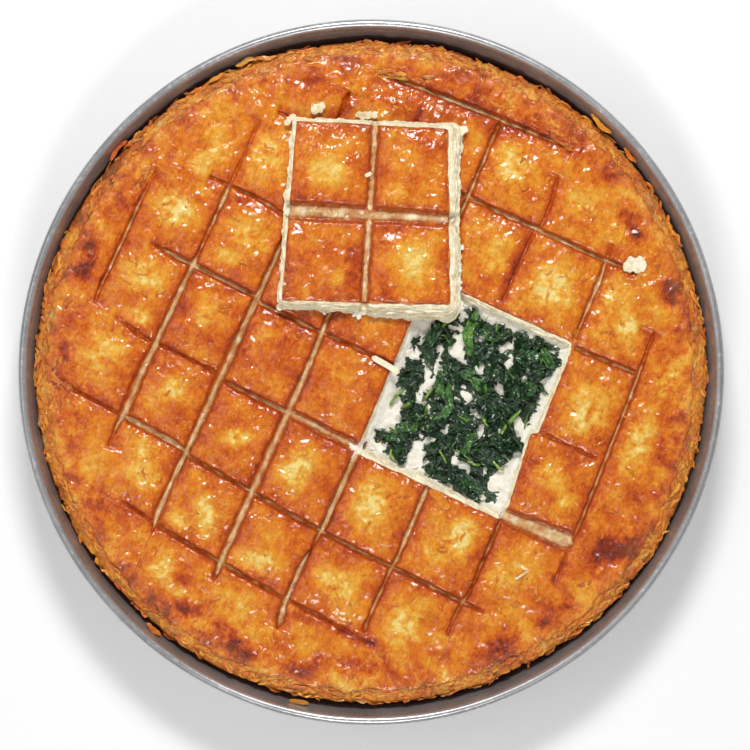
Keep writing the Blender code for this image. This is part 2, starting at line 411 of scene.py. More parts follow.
# ---------------------------------------------------------------- shaders
class Wire:
    """A value or colour on its way through a material, with the operators of numbers."""

    def __init__(self, paint: "Paint", socket: bpy.types.NodeSocket) -> None:
        """Keeps the material and the socket that the value comes from."""
        self.paint, self.socket = paint, socket

    def _maths(self, operation: str, first: "Value", second: "Value" = 0.0, clamp: bool = False) -> "Wire":
        """One Math node."""
        settings = {"operation": operation, "use_clamp": clamp}
        return self.paint.add("ShaderNodeMath", settings, {0: first, 1: second}).out()

    def __add__(self, other: "Value") -> "Wire":
        """The sum."""
        return self._maths("ADD", self, other)

    def __sub__(self, other: "Value") -> "Wire":
        """The difference."""
        return self._maths("SUBTRACT", self, other)

    def __rsub__(self, other: "Value") -> "Wire":
        """The difference the other way round."""
        return self._maths("SUBTRACT", other, self)

    def __mul__(self, other: "Value") -> "Wire":
        """The product."""
        return self._maths("MULTIPLY", self, other)

    def __truediv__(self, other: "Value") -> "Wire":
        """The quotient."""
        return self._maths("DIVIDE", self, other)

    def __pow__(self, other: "Value") -> "Wire":
        """The power."""
        return self._maths("POWER", self, other)

    __radd__ = __add__
    __rmul__ = __mul__

    def step(self, low: float, high: float) -> "Wire":
        """A soft step from 0 at low to 1 at high."""
        settings = {"interpolation_type": "SMOOTHSTEP"}
        return self.paint.add("ShaderNodeMapRange", settings, {"Value": self, 1: low, 2: high}).out()

    def magnitude(self) -> "Wire":
        """The value without its sign."""
        return self._maths("ABSOLUTE", self)

    def clamp(self) -> "Wire":
        """The value held between 0 and 1."""
        return self._maths("ADD", self, 0.0, clamp=True)

    def ramp(self, stops: Stops) -> "Wire":
        """The colour of a ramp at this value; the stops' colours are as seen, from 0 to 255."""
        node = self.paint.add("ShaderNodeValToRGB", {}, {"Fac": self})
        elements = node.node.color_ramp.elements
        elements.remove(elements[1])
        for number, (place, colour) in enumerate(stops):
            element = elements.new(place) if number else elements[0]
            element.position = place
            element.color = (*linear(colour), 1.0)
        return node.out("Color")

    def mixed(self, first: "Value", second: "Value") -> "Wire":
        """Colours mixed by this value: the first at 0, the second at 1."""
        settings = {"data_type": "RGBA", "clamp_factor": True}
        sockets = {"Factor_Float": self, "A_Color": first, "B_Color": second}
        return self.paint.add("ShaderNodeMix", settings, sockets).out("Result_Color")


Value = Wire | float | tuple


def linear(colour: tuple[float, float, float]) -> tuple[float, ...]:
    """A colour as seen, from 0 to 255, as the light it sends back."""
    shares = [part / 255.0 for part in colour]
    return tuple(s / 12.92 if s <= 0.04045 else ((s + 0.055) / 1.055) ** 2.4 for s in shares)


class Step:
    """One node of a material."""

    def __init__(self, paint: "Paint", node: bpy.types.Node) -> None:
        """Keeps the node."""
        self.paint, self.node = paint, node

    def out(self, name: str | int = 0) -> Wire:
        """One of its outputs, by name, identifier or number."""
        return Wire(self.paint, self.paint.socket(self.node.outputs, name))


class Paint:
    """A material that is being made."""

    def __init__(self, name: str) -> None:
        """Starts a material with a Principled shader."""
        self.material = bpy.data.materials.new(name)
        self.material.use_nodes = True
        self.tree = self.material.node_tree
        self.shader = self.tree.nodes["Principled BSDF"]

    @staticmethod
    def socket(sockets: bpy.types.bpy_prop_collection, name: str | int) -> bpy.types.NodeSocket:
        """Finds a socket by number, identifier or name."""
        if isinstance(name, int):
            return sockets[name]
        return next(s for s in sockets if s.identifier == name or (s.name == name and s.enabled))

    def feed(self, node: bpy.types.Node, sockets: dict[str | int, Value]) -> None:
        """Links wires to a node's sockets and sets the others' values."""
        for name, value in sockets.items():
            target = self.socket(node.inputs, name)
            if isinstance(value, Wire):
                self.tree.links.new(value.socket, target)
            else:
                full = target.type == "RGBA" and len(value) == 3
                target.default_value = (*value, 1.0) if full else value

    def add(self, kind: str, settings: dict | None = None, sockets: dict | None = None) -> Step:
        """Adds a node.

        Args:
            kind: the node's type.
            settings: its own settings, which are set first.
            sockets: values or wires for its inputs.

        Returns:
            The node.
        """
        node = self.tree.nodes.new(kind)
        for key, value in (settings or {}).items():
            setattr(node, key, value)
        self.feed(node, sockets or {})
        return Step(self, node)

    def place(self, stretch: tuple[float, float, float] = (1.0, 1.0, 1.0), turn: float = 0.0) -> Wire:
        """Object coordinates, stretched and turned about Z."""
        here = self.add("ShaderNodeTexCoord").out("Object")
        sockets = {"Vector": here, "Scale": stretch, "Rotation": (0.0, 0.0, turn)}
        return self.add("ShaderNodeMapping", {}, sockets).out()

    def noise(self, place: Wire, size: float, detail: float = 3.0, keep: float = 0.55,
              form: str = "FBM", warp: float = 0.0) -> Wire:
        """Noise from 0 to 1 with features of a size in metres."""
        settings = {"noise_type": form}
        sockets = {"Vector": place, "Scale": 1.0 / size, "Detail": detail}
        sockets |= {"Roughness": keep, "Distortion": warp}
        return self.add("ShaderNodeTexNoise", settings, sockets).out(0)

    def cells(self, place: Wire, size: float, feature: str = "F1") -> Wire:
        """Distances in cells of a size in metres."""
        sockets = {"Vector": place, "Scale": 1.0 / size}
        return self.add("ShaderNodeTexVoronoi", {"feature": feature}, sockets).out("Distance")

    def value(self, name: str) -> Wire:
        """A value kept on the mesh."""
        return self.add("ShaderNodeAttribute", {"attribute_name": name}).out("Fac")

    def bump(self, height: Wire, distance: float) -> Wire:
        """A normal that shows a height as relief."""
        sockets = {"Height": height, "Distance": distance, "Strength": 1.0}
        return self.add("ShaderNodeBump", {}, sockets).out()

    def done(self, sockets: dict[str, Value]) -> bpy.types.Material:
        """Feeds the shader and returns the material."""
        self.feed(self.shader, sockets)
        return self.material


@dataclass(frozen=True)
class BakedCrust:
    """Glazed, browned pastry.

    The mesh says how brown it is, where pale layers show, and where it is dry and flaky.
    """

    glaze_roughness: float = 0.15
    dry_roughness: float = 0.58
    relief: float = 0.00075
    browning: Stops = (
        (0.00, (244, 214, 128)),
        (0.18, (234, 178, 66)),
        (0.38, (228, 146, 34)),
        (0.55, (216, 112, 18)),
        (0.72, (192, 78, 10)),
        (0.86, (158, 54, 16)),
        (1.00, (108, 36, 18)),
    )
    layers: Stops = (
        (0.10, (140, 92, 42)),
        (0.34, (198, 158, 100)),
        (0.58, (224, 197, 146)),
        (0.85, (252, 242, 210)),
    )

    def made(self, name: str) -> bpy.types.Material:
        """Builds the material."""
        paint = Paint(name)
        here = paint.place()
        tone, pale, dry = (paint.value(key) for key in ("tone", "pale", "dry"))
        mottle = paint.noise(here, 0.0075, 5.0, 0.68, warp=0.9)
        fine = paint.noise(here, 0.0015, 4.0, 0.7)
        slant = paint.place((1.0, 0.5, 1.0), 0.9)
        wrinkles = paint.noise(slant, 0.0042, 2.5, 0.55, "RIDGED_MULTIFRACTAL", 0.9)
        streak = paint.noise(paint.place((1.0, 0.28, 1.0), 0.9), 0.0010, 3.0, 0.6, warp=0.8)
        sweep = paint.noise(paint.place((1.0, 0.30, 1.0), 0.3), 0.0042, 3.0, 0.6, warp=1.4)
        swell = paint.noise(here, 0.0048, 1.5, 0.5, warp=0.6)
        plates = paint.cells(paint.place((1.0, 1.5, 1.0), 0.5), 0.0038, "F1")
        crack = (paint.noise(here, 0.0060, 3.0, 0.6, warp=1.2) - 0.5).magnitude().step(0.018, 0.0)
        brown = tone + (mottle - 0.5) * 0.48 + (fine - 0.5) * 0.28
        brown = brown + (plates - 0.4) * 0.08 + crack * 0.04 - 0.03
        brown = brown + (streak - 0.5) * 0.42 + (sweep - 0.5) * (0.16 + dry * 0.5)
        crust = (dry * 0.20).mixed(brown.clamp().ramp(self.browning), linear((226, 160, 92)))
        fibre = paint.noise(here, 0.0055, 4.0, 0.55)
        inner = fibre * 1.1 + pale * 0.9 - 0.55 - tone * 0.30 + (fine - 0.5) * 0.20
        inner = inner.clamp().ramp(self.layers)
        colour = (pale * (1.1 + (fine - 0.5) * 0.5)).clamp().mixed(crust, inner)
        relief = wrinkles * 0.36 + swell * 0.66 + (fine * 0.16 + mottle * 0.30) * (1.0 + dry)
        relief = relief - crack * 0.18 + streak * 0.12
        matte = (dry * 0.75 + pale * 0.8).clamp()
        rough = matte * (self.dry_roughness - self.glaze_roughness) + self.glaze_roughness
        rough = rough + (fine - 0.5) * 0.16
        return paint.done({
            "Base Color": colour,
            "Roughness": rough.clamp(),
            "Coat Weight": (1.0 - matte) * 0.55,
            "Coat Roughness": 0.05,
            "Specular IOR Level": 0.30,
            "Normal": paint.bump(relief, self.relief),
        })


@dataclass(frozen=True)
class SpunAluminium:
    """Dull, ring-scratched aluminium with baked-on fat inside the wall."""

    roughness: float = 0.34

    def made(self, name: str) -> bpy.types.Material:
        """Builds the material."""
        paint = Paint(name)
        here = paint.add("ShaderNodeTexCoord").out("Object")
        parts = paint.add("ShaderNodeSeparateXYZ", {}, {0: here})
        x, y, z = parts.out("X"), parts.out("Y"), parts.out("Z")
        radius = (x * x + y * y) ** 0.5
        around = paint.add("ShaderNodeCombineXYZ", {}, {
            "X": x / radius, "Y": y / radius, "Z": (radius + z * 0.7) * 900.0,
        }).out()
        rings = paint.noise(around, 0.9, 5.0, 0.7)
        scratch = paint.noise(paint.place((1.0, 1.0, 6.0)), 0.0035, 5.0, 0.75, "RIDGED_MULTIFRACTAL")
        cloud = paint.noise(here, 0.02, 4.0, 0.6)
        roll_height = TIN_HEIGHT - RIM_ROLL
        wall = (z - roll_height) * WALL_SLOPE + (TIN_RADIUS - 2 * RIM_ROLL)
        inside = (wall + SHEET / 2 - radius).step(-0.0002, 0.0003)
        depth = (roll_height - z).step(0.0015, 0.0090)
        clean = ((x * 0.95 - y * 0.30) / radius).step(-0.35, 0.40)
        stain = inside * ((depth * 0.80 + (cloud - 0.5) * 0.9) * (1.0 - clean * 0.88)).clamp()
        metal = (rings * 0.4 + cloud * 0.3 + scratch * 0.3).ramp((
            (0.25, (150, 149, 150)), (0.5, (202, 200, 200)), (0.75, (236, 234, 233)),
        ))
        fat = (cloud * 0.7 + rings * 0.3).ramp((
            (0.25, (78, 52, 42)), (0.5, (132, 104, 92)), (0.75, (190, 172, 162)),
        ))
        rough = self.roughness + (rings - 0.5) * 0.25 + (scratch - 0.5) * 0.10 + stain * 0.22
        return paint.done({
            "Base Color": stain.mixed(metal, fat),
            "Metallic": 0.62 - stain * 0.5,
            "Roughness": rough.clamp(),
            "Normal": paint.bump(rings * 0.6 + scratch * 0.4, 0.00006),
        })


@dataclass(frozen=True)
class FreshCheese:
    """Moist white cheese with fine curds."""

    def made(self, name: str) -> bpy.types.Material:
        """Builds the material."""
        paint = Paint(name)
        here = paint.place()
        curd = paint.noise(here, 0.0026, 4.0, 0.6)
        grain = paint.noise(here, 0.0007, 3.0, 0.6)
        colour = (curd * 0.7 + grain * 0.3).ramp((
            (0.25, (228, 216, 184)), (0.5, (247, 241, 225)), (0.75, (254, 251, 243)),
        ))
        return paint.done({
            "Base Color": colour,
            "Roughness": (0.42 + (grain - 0.5) * 0.3).clamp(),
            "Specular IOR Level": 0.45,
            "Normal": paint.bump(curd * 0.8 + grain * 0.5, 0.0003),
        })


class Green(Enum):
    """The greens of cooked spinach: its ramp of colours."""

    LEAF = ((0.14, (6, 22, 8)), (0.38, (26, 66, 24)), (0.60, (72, 124, 42)), (0.84, (150, 184, 76)))
    STALK = ((0.10, (52, 92, 26)), (0.45, (104, 142, 44)), (0.80, (160, 184, 84)), (0.95, (204, 212, 132)))


@dataclass(frozen=True)
class WetSpinach:
    """Cooked spinach, wet and dark, with paler veins and painted highlight streaks on its wrinkles."""

    green: Green

    def made(self, name: str) -> bpy.types.Material:
        """Builds the material."""
        paint = Paint(name)
        here = paint.place()
        shade = paint.value("shade")
        vein = paint.cells(here, 0.0024, "DISTANCE_TO_EDGE")
        soft = paint.noise(here, 0.0032, 1.5, 0.5)
        blot = paint.noise(here, 0.005, 4.0, 0.6)
        wrinkle = paint.noise(here, 0.0019, 1.5, 0.5, "RIDGED_MULTIFRACTAL", 0.8)
        fine = paint.noise(here, 0.0008, 3.0, 0.6)
        tone = shade ** 2.5 * 0.70 + (blot - 0.5) * 0.7 + (fine - 0.5) * 0.4
        # The step on the wrinkle noise lightens the green on the ridges: painted highlight streaks of wet
        # sheen.
        tone = tone + (1.0 - vein * 6.0).clamp() * 0.12 + wrinkle.step(0.60, 0.92) * 0.26 + 0.25
        return paint.done({
            "Base Color": tone.clamp().ramp(self.green.value),
            "Roughness": (0.34 + (fine - 0.5) * 0.3).clamp(),
            "Specular IOR Level": 0.35,
            "Coat Weight": 0.85,
            "Coat Roughness": 0.035,
            "Normal": paint.bump(vein * 0.9 + fine * 0.10 + soft + wrinkle * 0.5, 0.0009),
        })


@dataclass(frozen=True)
class PaleFloor:
    """A plain matt floor."""

    def made(self, name: str) -> bpy.types.Material:
        """Builds the material."""
        paint = Paint(name)
        return paint.done({"Base Color": (0.97, 0.97, 0.97), "Roughness": 0.9, "Specular IOR Level": 0.1})


# ---------------------------------------------------------------- the scored crust
@dataclass(frozen=True)
class Score:
    """One knife line: across = offset + lean * along.

    Its gaps give in millimetres, at places along it, where the gap starts and ends on the two
    sides of the line. Between those places the edges run straight, and a gap of no width isn't
    cut.
    """

    offset: float
    lean: float
    gaps: tuple[tuple[float, float, float], ...] = ()

    def inside(self, across: Array, along: Array, ragged: Array) -> tuple[Array, Array]:
        """How far each place lies inside the gap, and how wide the gap is there.

        Args:
            across: distance from the line, to its positive side.
            along: place along the line.
            ragged: how far the edges are torn at each place.

        Returns:
            The depth inside the gap, negative outside, and the gap's width.
        """
        if not self.gaps:
            return np.full(across.shape, -FAR_OUTSIDE), np.zeros(across.shape)
        places, low, high = (np.array(part) / 1000 for part in zip(*self.gaps))
        near, far = np.interp(along, places, low), np.interp(along, places, high)
        width = far - near
        depth = np.minimum(across - near, far - across) + ragged
        return depth - (1.0 - smooth(0.0001, 0.0009, width)) * 0.03, width


COLUMNS = (
    Score(-0.1920, -0.004),
    Score(-0.1510, -0.011, (
        (-34, 0, 0), (-25, -2.3, -0.3), (0, -2.5, 0), (30, -2.7, -0.2), (45, -1.5, -0.5), (58, 0, 0),
    )),
    Score(-0.1116, -0.012, (
        (-104, 0, 0), (-98, -1.2, -0.5), (-90, -1.9, -0.4), (-83, -2.6, 0.4), (-78, -3.4, 2.2),
        (-50, -4, 1.5), (-35, -3, 1), (12, -2.4, 1), (18, -1.2, 0.6), (35, -1.5, 0.9), (56, -2, 1.2),
        (60, -1, 0.4), (95, -0.9, 0.3), (100, 0, 0),
    )),
    Score(-0.0726, -0.025, (
        (-131, 0, 0), (-127, -1.5, 0.2), (-120, -3.9, 0), (-100, -3.8, -0.4), (-75, -3.2, 1.2),
        (-35, -3.6, 1.8), (10, -2.4, 1.6), (25, -1.7, 1.6), (44, -1.5, 1.2), (100, -1, 0.8),
        (130, -0.8, 0.6), (134, 0, 0),
    )),
    Score(-0.0317, -0.025, (
        (-140, 0, 0), (-134, -1.8, 1), (-125, -3.2, 1.4), (-60, -3.6, 2), (-38, -3.2, 2), (-10, -2.6, 1.4),
        (15, -3.4, 0), (30, -2.5, 0), (60, -1.5, 1), (100, -1, 1), (128, -1.5, -0.5), (142, -1.2, -0.6),
        (145, -0.9, -0.9),
    )),
    Score(0.0092, -0.029, (
        (-148, 0, 0), (-143, -2, 2.5), (-133, -3.4, 0), (-110, -3, 0.2), (-100, -1.2, 0.8),
        (-93, -0.6, 1.2), (-85, -1, 3), (-60, -0.9, 3.1), (-38, -1, 3.5), (-36, 0, 0), (62, 0, 0),
        (64, -0.5, 1.5), (90, -0.5, 1.5), (108, -1, 1.6), (150, -1.5, 1), (154, 0, 0),
    )),
    Score(0.0516, -0.043, (
        (-131, 0, 0), (-125, -1.8, 0.6), (-92, -1.4, 1), (-85, -0.6, 2.4), (-45, -1, 2.6), (-41, 0, 0),
        (62, 0, 0), (66, -1.6, -0.6), (85, -1.6, -0.4), (105, -0.8, 0.2), (112, 1.6, 3), (125, 1.4, 2.8),
        (138, -0.4, 0.6), (143, 0, 0),
    )),
    Score(0.0961, -0.037, (
        (-114, -1.8, -1.8), (-108, -2.8, -1.4), (-95, -3, -0.8), (-85, -1, 1), (-45, -1.2, 1.2),
        (-41, 0, 0), (62, 0, 0), (63, -3, -1), (80, -3.6, -0.8), (100, -4, -0.4), (111, -4.4, -2.6),
        (118, -4.2, -3.2), (123, -3.8, -3.8),
    )),
    Score(0.1356, -0.073, (
        (-69, -1.8, -1.8), (-60, -2.3, -1.5), (-45, -1.8, -0.6), (-20, -1.4, 1), (50, -1, 1.6),
        (80, -1.4, 0.4), (90, -0.5, -0.5),
    )),
    Score(0.1880, -0.080),
)
ROWS = (
    Score(-0.1880, -0.060),
    Score(-0.1273, -0.051, (
        (-98, 2, 2), (-90, 1.2, 2.2), (-80, -0.2, 1.4), (-60, -2.4, -0.4), (-35, -3.4, -1),
        (-10, -4, -1.6), (10, -3.8, -2), (30, -3.2, -1.2), (64, -2.8, -1.8), (69, -2.6, -2.6),
    )),
    Score(-0.0860, -0.047, (
        (-112, 1, 2.5), (-105, -0.2, 4), (-80, -0.2, 3.6), (-73, -0.6, 2.6), (-69, -2, 0.2),
        (-33, -3, -0.5), (-10, -4, -1.5), (35, -3.9, -1.4), (60, -2.6, -0.3), (95, -2, 0.6),
        (105, -1, 0.9), (115, 0, 0),
    )),
    Score(-0.0380, -0.016, (
        (-146, 5.7, 5.7), (-130, 1.4, 2.9), (-120, -0.6, 1), (-105, 0, 1.5), (-78, 0, 1.4),
        (-68, -3, -0.6), (-50, -3.6, -0.8), (-35, -3.4, 0), (-28, -4, 1.6), (0, -5, 1.5), (11, -5, 1.5),
        (12.5, 0, 0), (96, 0, 0), (97.5, -3.6, 4.4), (120, -3.4, 7.2), (136, -2.4, 9), (139.5, 3, 3),
    )),
    Score(0.0096, -0.005, (
        (-141, 2.2, 2.2), (-135, 0.8, 2.2), (-120, -0.8, 2.6), (-90, -1, 2), (-75, -1.4, 1.6),
        (-70, -3.4, -0.8), (-35, -3.2, -0.8), (-20, -2.4, -0.2), (8, -2.2, -0.2), (11, 0, 0), (94, 0, 0),
        (98, 0.2, 1.4), (130, 0.6, 1.5), (133, 1, 1),
    )),
    Score(0.0603, 0.021, (
        (-130, 0.5, 0.5), (-120, -0.4, 1), (-100, -0.7, 1.6), (-88, -1.6, 0.6), (-80, -3, -1), (-60, 0, 0),
        (92, 0, 0), (94, -4.2, -1.6), (110, -3.8, -1.2), (128, -3.2, -0.6), (132, -1, -1),
    )),
    Score(0.1078, 0.022, (
        (-110, 0, 0), (-104, -0.6, 0.6), (-60, -0.8, 0.8), (0, -1.2, 1.4), (45, -1.8, 1.6), (80, -2, 0.6),
        (88, -2, 1.4), (100, -1, 1), (110, 0, 0),
    )),
    Score(0.1519, 0.070, (
        (-70, 0, 0), (-60, 0, 2.4), (-30, 0, 3), (0, 0.2, 3.2), (20, 0, 2.8), (40, -0.4, 1.8), (50, 0, 0),
    )),
    Score(0.1930, 0.070),
)
OPENING = Outline((
    (0.0110, -0.0432), (0.0970, -0.0425), (0.0985, -0.0340), (0.0940, -0.0040), (0.0925, 0.0072),
    (0.0960, 0.0088), (0.0950, 0.0250), (0.0930, 0.0560), (0.0915, 0.0615), (0.0065, 0.0600),
))
# Paler and browner patches of the crust in millimetres: x, y, half length, half width, turn,
# strength.
PALE_PATCHES = (
    (95, 85, 60, 50, 0, .07), (-120, 75, 50, 40, 0, .07), (-134, -47, 11, 8, 20, .24),
    (-137, -58, 9, 6, 0, .24), (-93, -53, 6, 6, 0, .42), (-103, -66, 8, 5, 70, .2),
    (-50, -63, 7, 5, 20, .4), (-94, -90, 4, 8, 0, .3), (-86, -104, 14, 9, 0, .2),
    (-48, -108, 11, 5, -60, .42), (-59, -117, 7, 5, 0, .26), (-56, -144, 8, 8, 0, .3),
    (-44, -152, 9, 5, 0, .22), (-14, -64, 7, 10, 0, .45), (-10, -117, 12, 6, 10, .36),
    (-12, -146, 16, 9, 0, .18), (30, -65, 9, 13, 0, .42), (33, -112, 13, 9, -20, .28),
    (82, -60, 8, 11, 0, .38), (71, -74, 7, 4, -20, .3), (75, -116, 10, 12, 0, .38),
    (113, -62, 12, 10, 0, .2), (126, -18, 6, 5, 0, .3), (110, -10, 9, 6, 0, .24),
    (115, 30, 11, 12, 0, .34), (147, 28, 7, 18, 0, .3), (147, 66, 6, 10, 0, .32), (-92, -8, 10, 9, 0, .28),
    (-133, -6, 12, 9, 0, .28), (-125, -27, 6, 4, 0, .36), (-133, 34, 10, 8, 30, .4),
    (-91, 38, 10, 8, 20, .28), (-98, 23, 8, 4, 0, .24), (-103, 82, 9, 8, 0, .26), (-130, 68, 5, 9, 0, .2),
    (-60, -5, 4, 3, 0, .2), (21, 134, 10, 10, 0, .32), (62, 131, 12, 8, 0, .18), (68, 84, 13, 11, 0, .32),
    (34, 88, 7, 13, 0, .2), (99, 88, 4, 10, 0, .24), (114, 82, 6, 6, 0, .4), (-22, -8, 12, 10, 0, .12),
    (-145, -100, 20, 6, -52, .16),
)
BROWN_PATCHES = (
    (-60, 5, 62, 50, 0, .09), (-20, -70, 60, 30, 0, .03), (-151, -52, 7, 12, 0, .34),
    (-148, -76, 8, 6, 0, .28), (-118, -72, 11, 5, 10, .24), (-85, -64, 5, 5, 0, .24),
    (-56, -72, 11, 4, 0, .22), (-37, -77, 5, 7, 0, .22), (-41, -143, 8, 7, 0, .38),
    (-35, -159, 9, 6, 20, .56), (-52, -164, 11, 5, -15, .38), (-8.5, -163, 15, 6, -20, .60),
    (-17, -168, 12, 4, -10, .36), (-34.6, 48.6, 17, 4.5, 115, .34), (-60, 98, 5, 4, 0, .22),
    (-40, 104, 4, 5, 0, .2), (-58, 42, 12, 4, 25, .22), (-77, 76, 4, 14, 25, .2),
    (-91, -142, 6, 3, -20, .32), (-78, -153, 5, 4, 0, .34),
    (24, -136, 9, 3, 0, .3), (50, -134, 13, 3, 0, .26), (66, -131, 7, 3, 0, .36), (72, -139, 5, 6, 0, .24),
    (51, -76, 3, 10, 0, .22), (16, -76, 4, 8, 0, .2), (93, -66, 3, 10, 0, .2), (101, -64, 3, 16, 0, .26),
    (130, -103, 9, 13, 10, .32), (143, -82, 6, 4, 20, .42), (153, -67, 7, 5, -20, .32),
    (160, -28, 15, 7, 43, .62), (156, -39, 14, 9, 43, .40), (168, 7, 4, 6, 0, .42), (155, 2, 6, 5, 0, .26),
    (151, -14, 9, 7, 0, .18), (101, -14, 4, 14, 0, .26), (108, 4, 10, 3, 0, .24), (126, 20, 6, 4, 0, .2),
    (-171, 1, 5, 12, 0, .24), (-163, -13, 5, 11, 10, .44), (-133, 54, 13, 3, 0, .28),
    (-104, 53, 7, 3, 0, .26), (-174, 40, 5, 12, 10, .46), (-104, -12, 5, 5, 0, .28),
    (-85, -24, 9, 3, -20, .24), (-52, -18, 18, 18, 0, .14), (-10, -14, 16, 16, 0, .08),
    (72, 153, 9, 5, -20, .36), (95, 131, 10, 5, -52, .46), (130, 108, 12, 7, -45, .36),
    (144, 95, 9, 6, -50, .34), (163, 50, 6, 5, 0, .34), (169, 38, 4, 7, 0, .34), (45, 84, 3, 20, 2, .36),
    (52, 155, 8, 4, 0, .24), (-95, 134, 10, 6, 20, .26), (-72, 126, 3, 8, 0, .34), (-37, 137, 2, 6, 0, .3),
    (-116, 32, 3, 12, 0, .2), (-20, 145, 30, 10, 10, .14), (10, 162, 40, 7, 0, .14),
)
CRUST_GRAIN = Grain(7)


def pie_radius(angle: Array) -> Array:
    """The uneven outline of the crust: a little wider one way, and wavy."""
    wide = 0.0014 * np.cos(2 * (angle - PIE_TURN)) - 0.0002 * np.cos(angle - PIE_TURN)
    return PIE_RADIUS + wide + 0.0003 * np.cos(5 * angle + 1.0) + 0.0003 * np.cos(9 * angle + 2.0)


def border_height(inset: Array) -> Array:
    """Height of the crust's rounded border at a distance inside its outline."""
    insets = (0.0, 0.0008, 0.0032, 0.0085, 0.0220, 0.0800)
    rises = (0.0, 0.0022, 0.0043, 0.0058, 0.0072, 0.0120)
    return PIE_LEVEL + np.interp(inset, insets, rises)


def steps_across(width: float, spacing: float) -> Array:
    """Shares of a square's width for its mesh lines, which are closer at its edges."""
    near = np.array([0.0, 0.0004, 0.0008, 0.0012, 0.0016, 0.0020, 0.0025, 0.0031, 0.0038, 0.0046])
    middle = np.linspace(0.0054, width - 0.0054, max(2, round((width - 0.0108) / spacing)))
    return np.concatenate([near, middle, width - near[:0:-1]]) / width


def knife_gaps(columns: tuple[Score, ...], rows: tuple[Score, ...], x: Array, y: Array,
               grain: Grain) -> tuple[Array, Array, Array]:
    """The deepest knife gap at each place.

    Args:
        columns: the lines that run along Y.
        rows: the lines that run along X.
        x: places along X.
        y: places along Y.
        grain: what the torn edges are made with.

    Returns:
        The depth inside the gap, the gap's width, and whether it is a column's.
    """
    torn = 0.00040 * grain.rough(x, y, 0.0065, 4, 0.6)
    inside, width = np.full(x.shape, -FAR_OUTSIDE), np.zeros(x.shape)
    upright = np.zeros(x.shape, dtype=bool)
    for scores, across, along, is_column in ((columns, x, y, True), (rows, y, x, False)):
        for score in scores:
            depth, wide = score.inside(across - score.offset - score.lean * along, along, torn)
            better = depth > inside
            inside, width = np.where(better, depth, inside), np.where(better, wide, width)
            upright = np.where(better, is_column, upright)
    return inside, width, upright


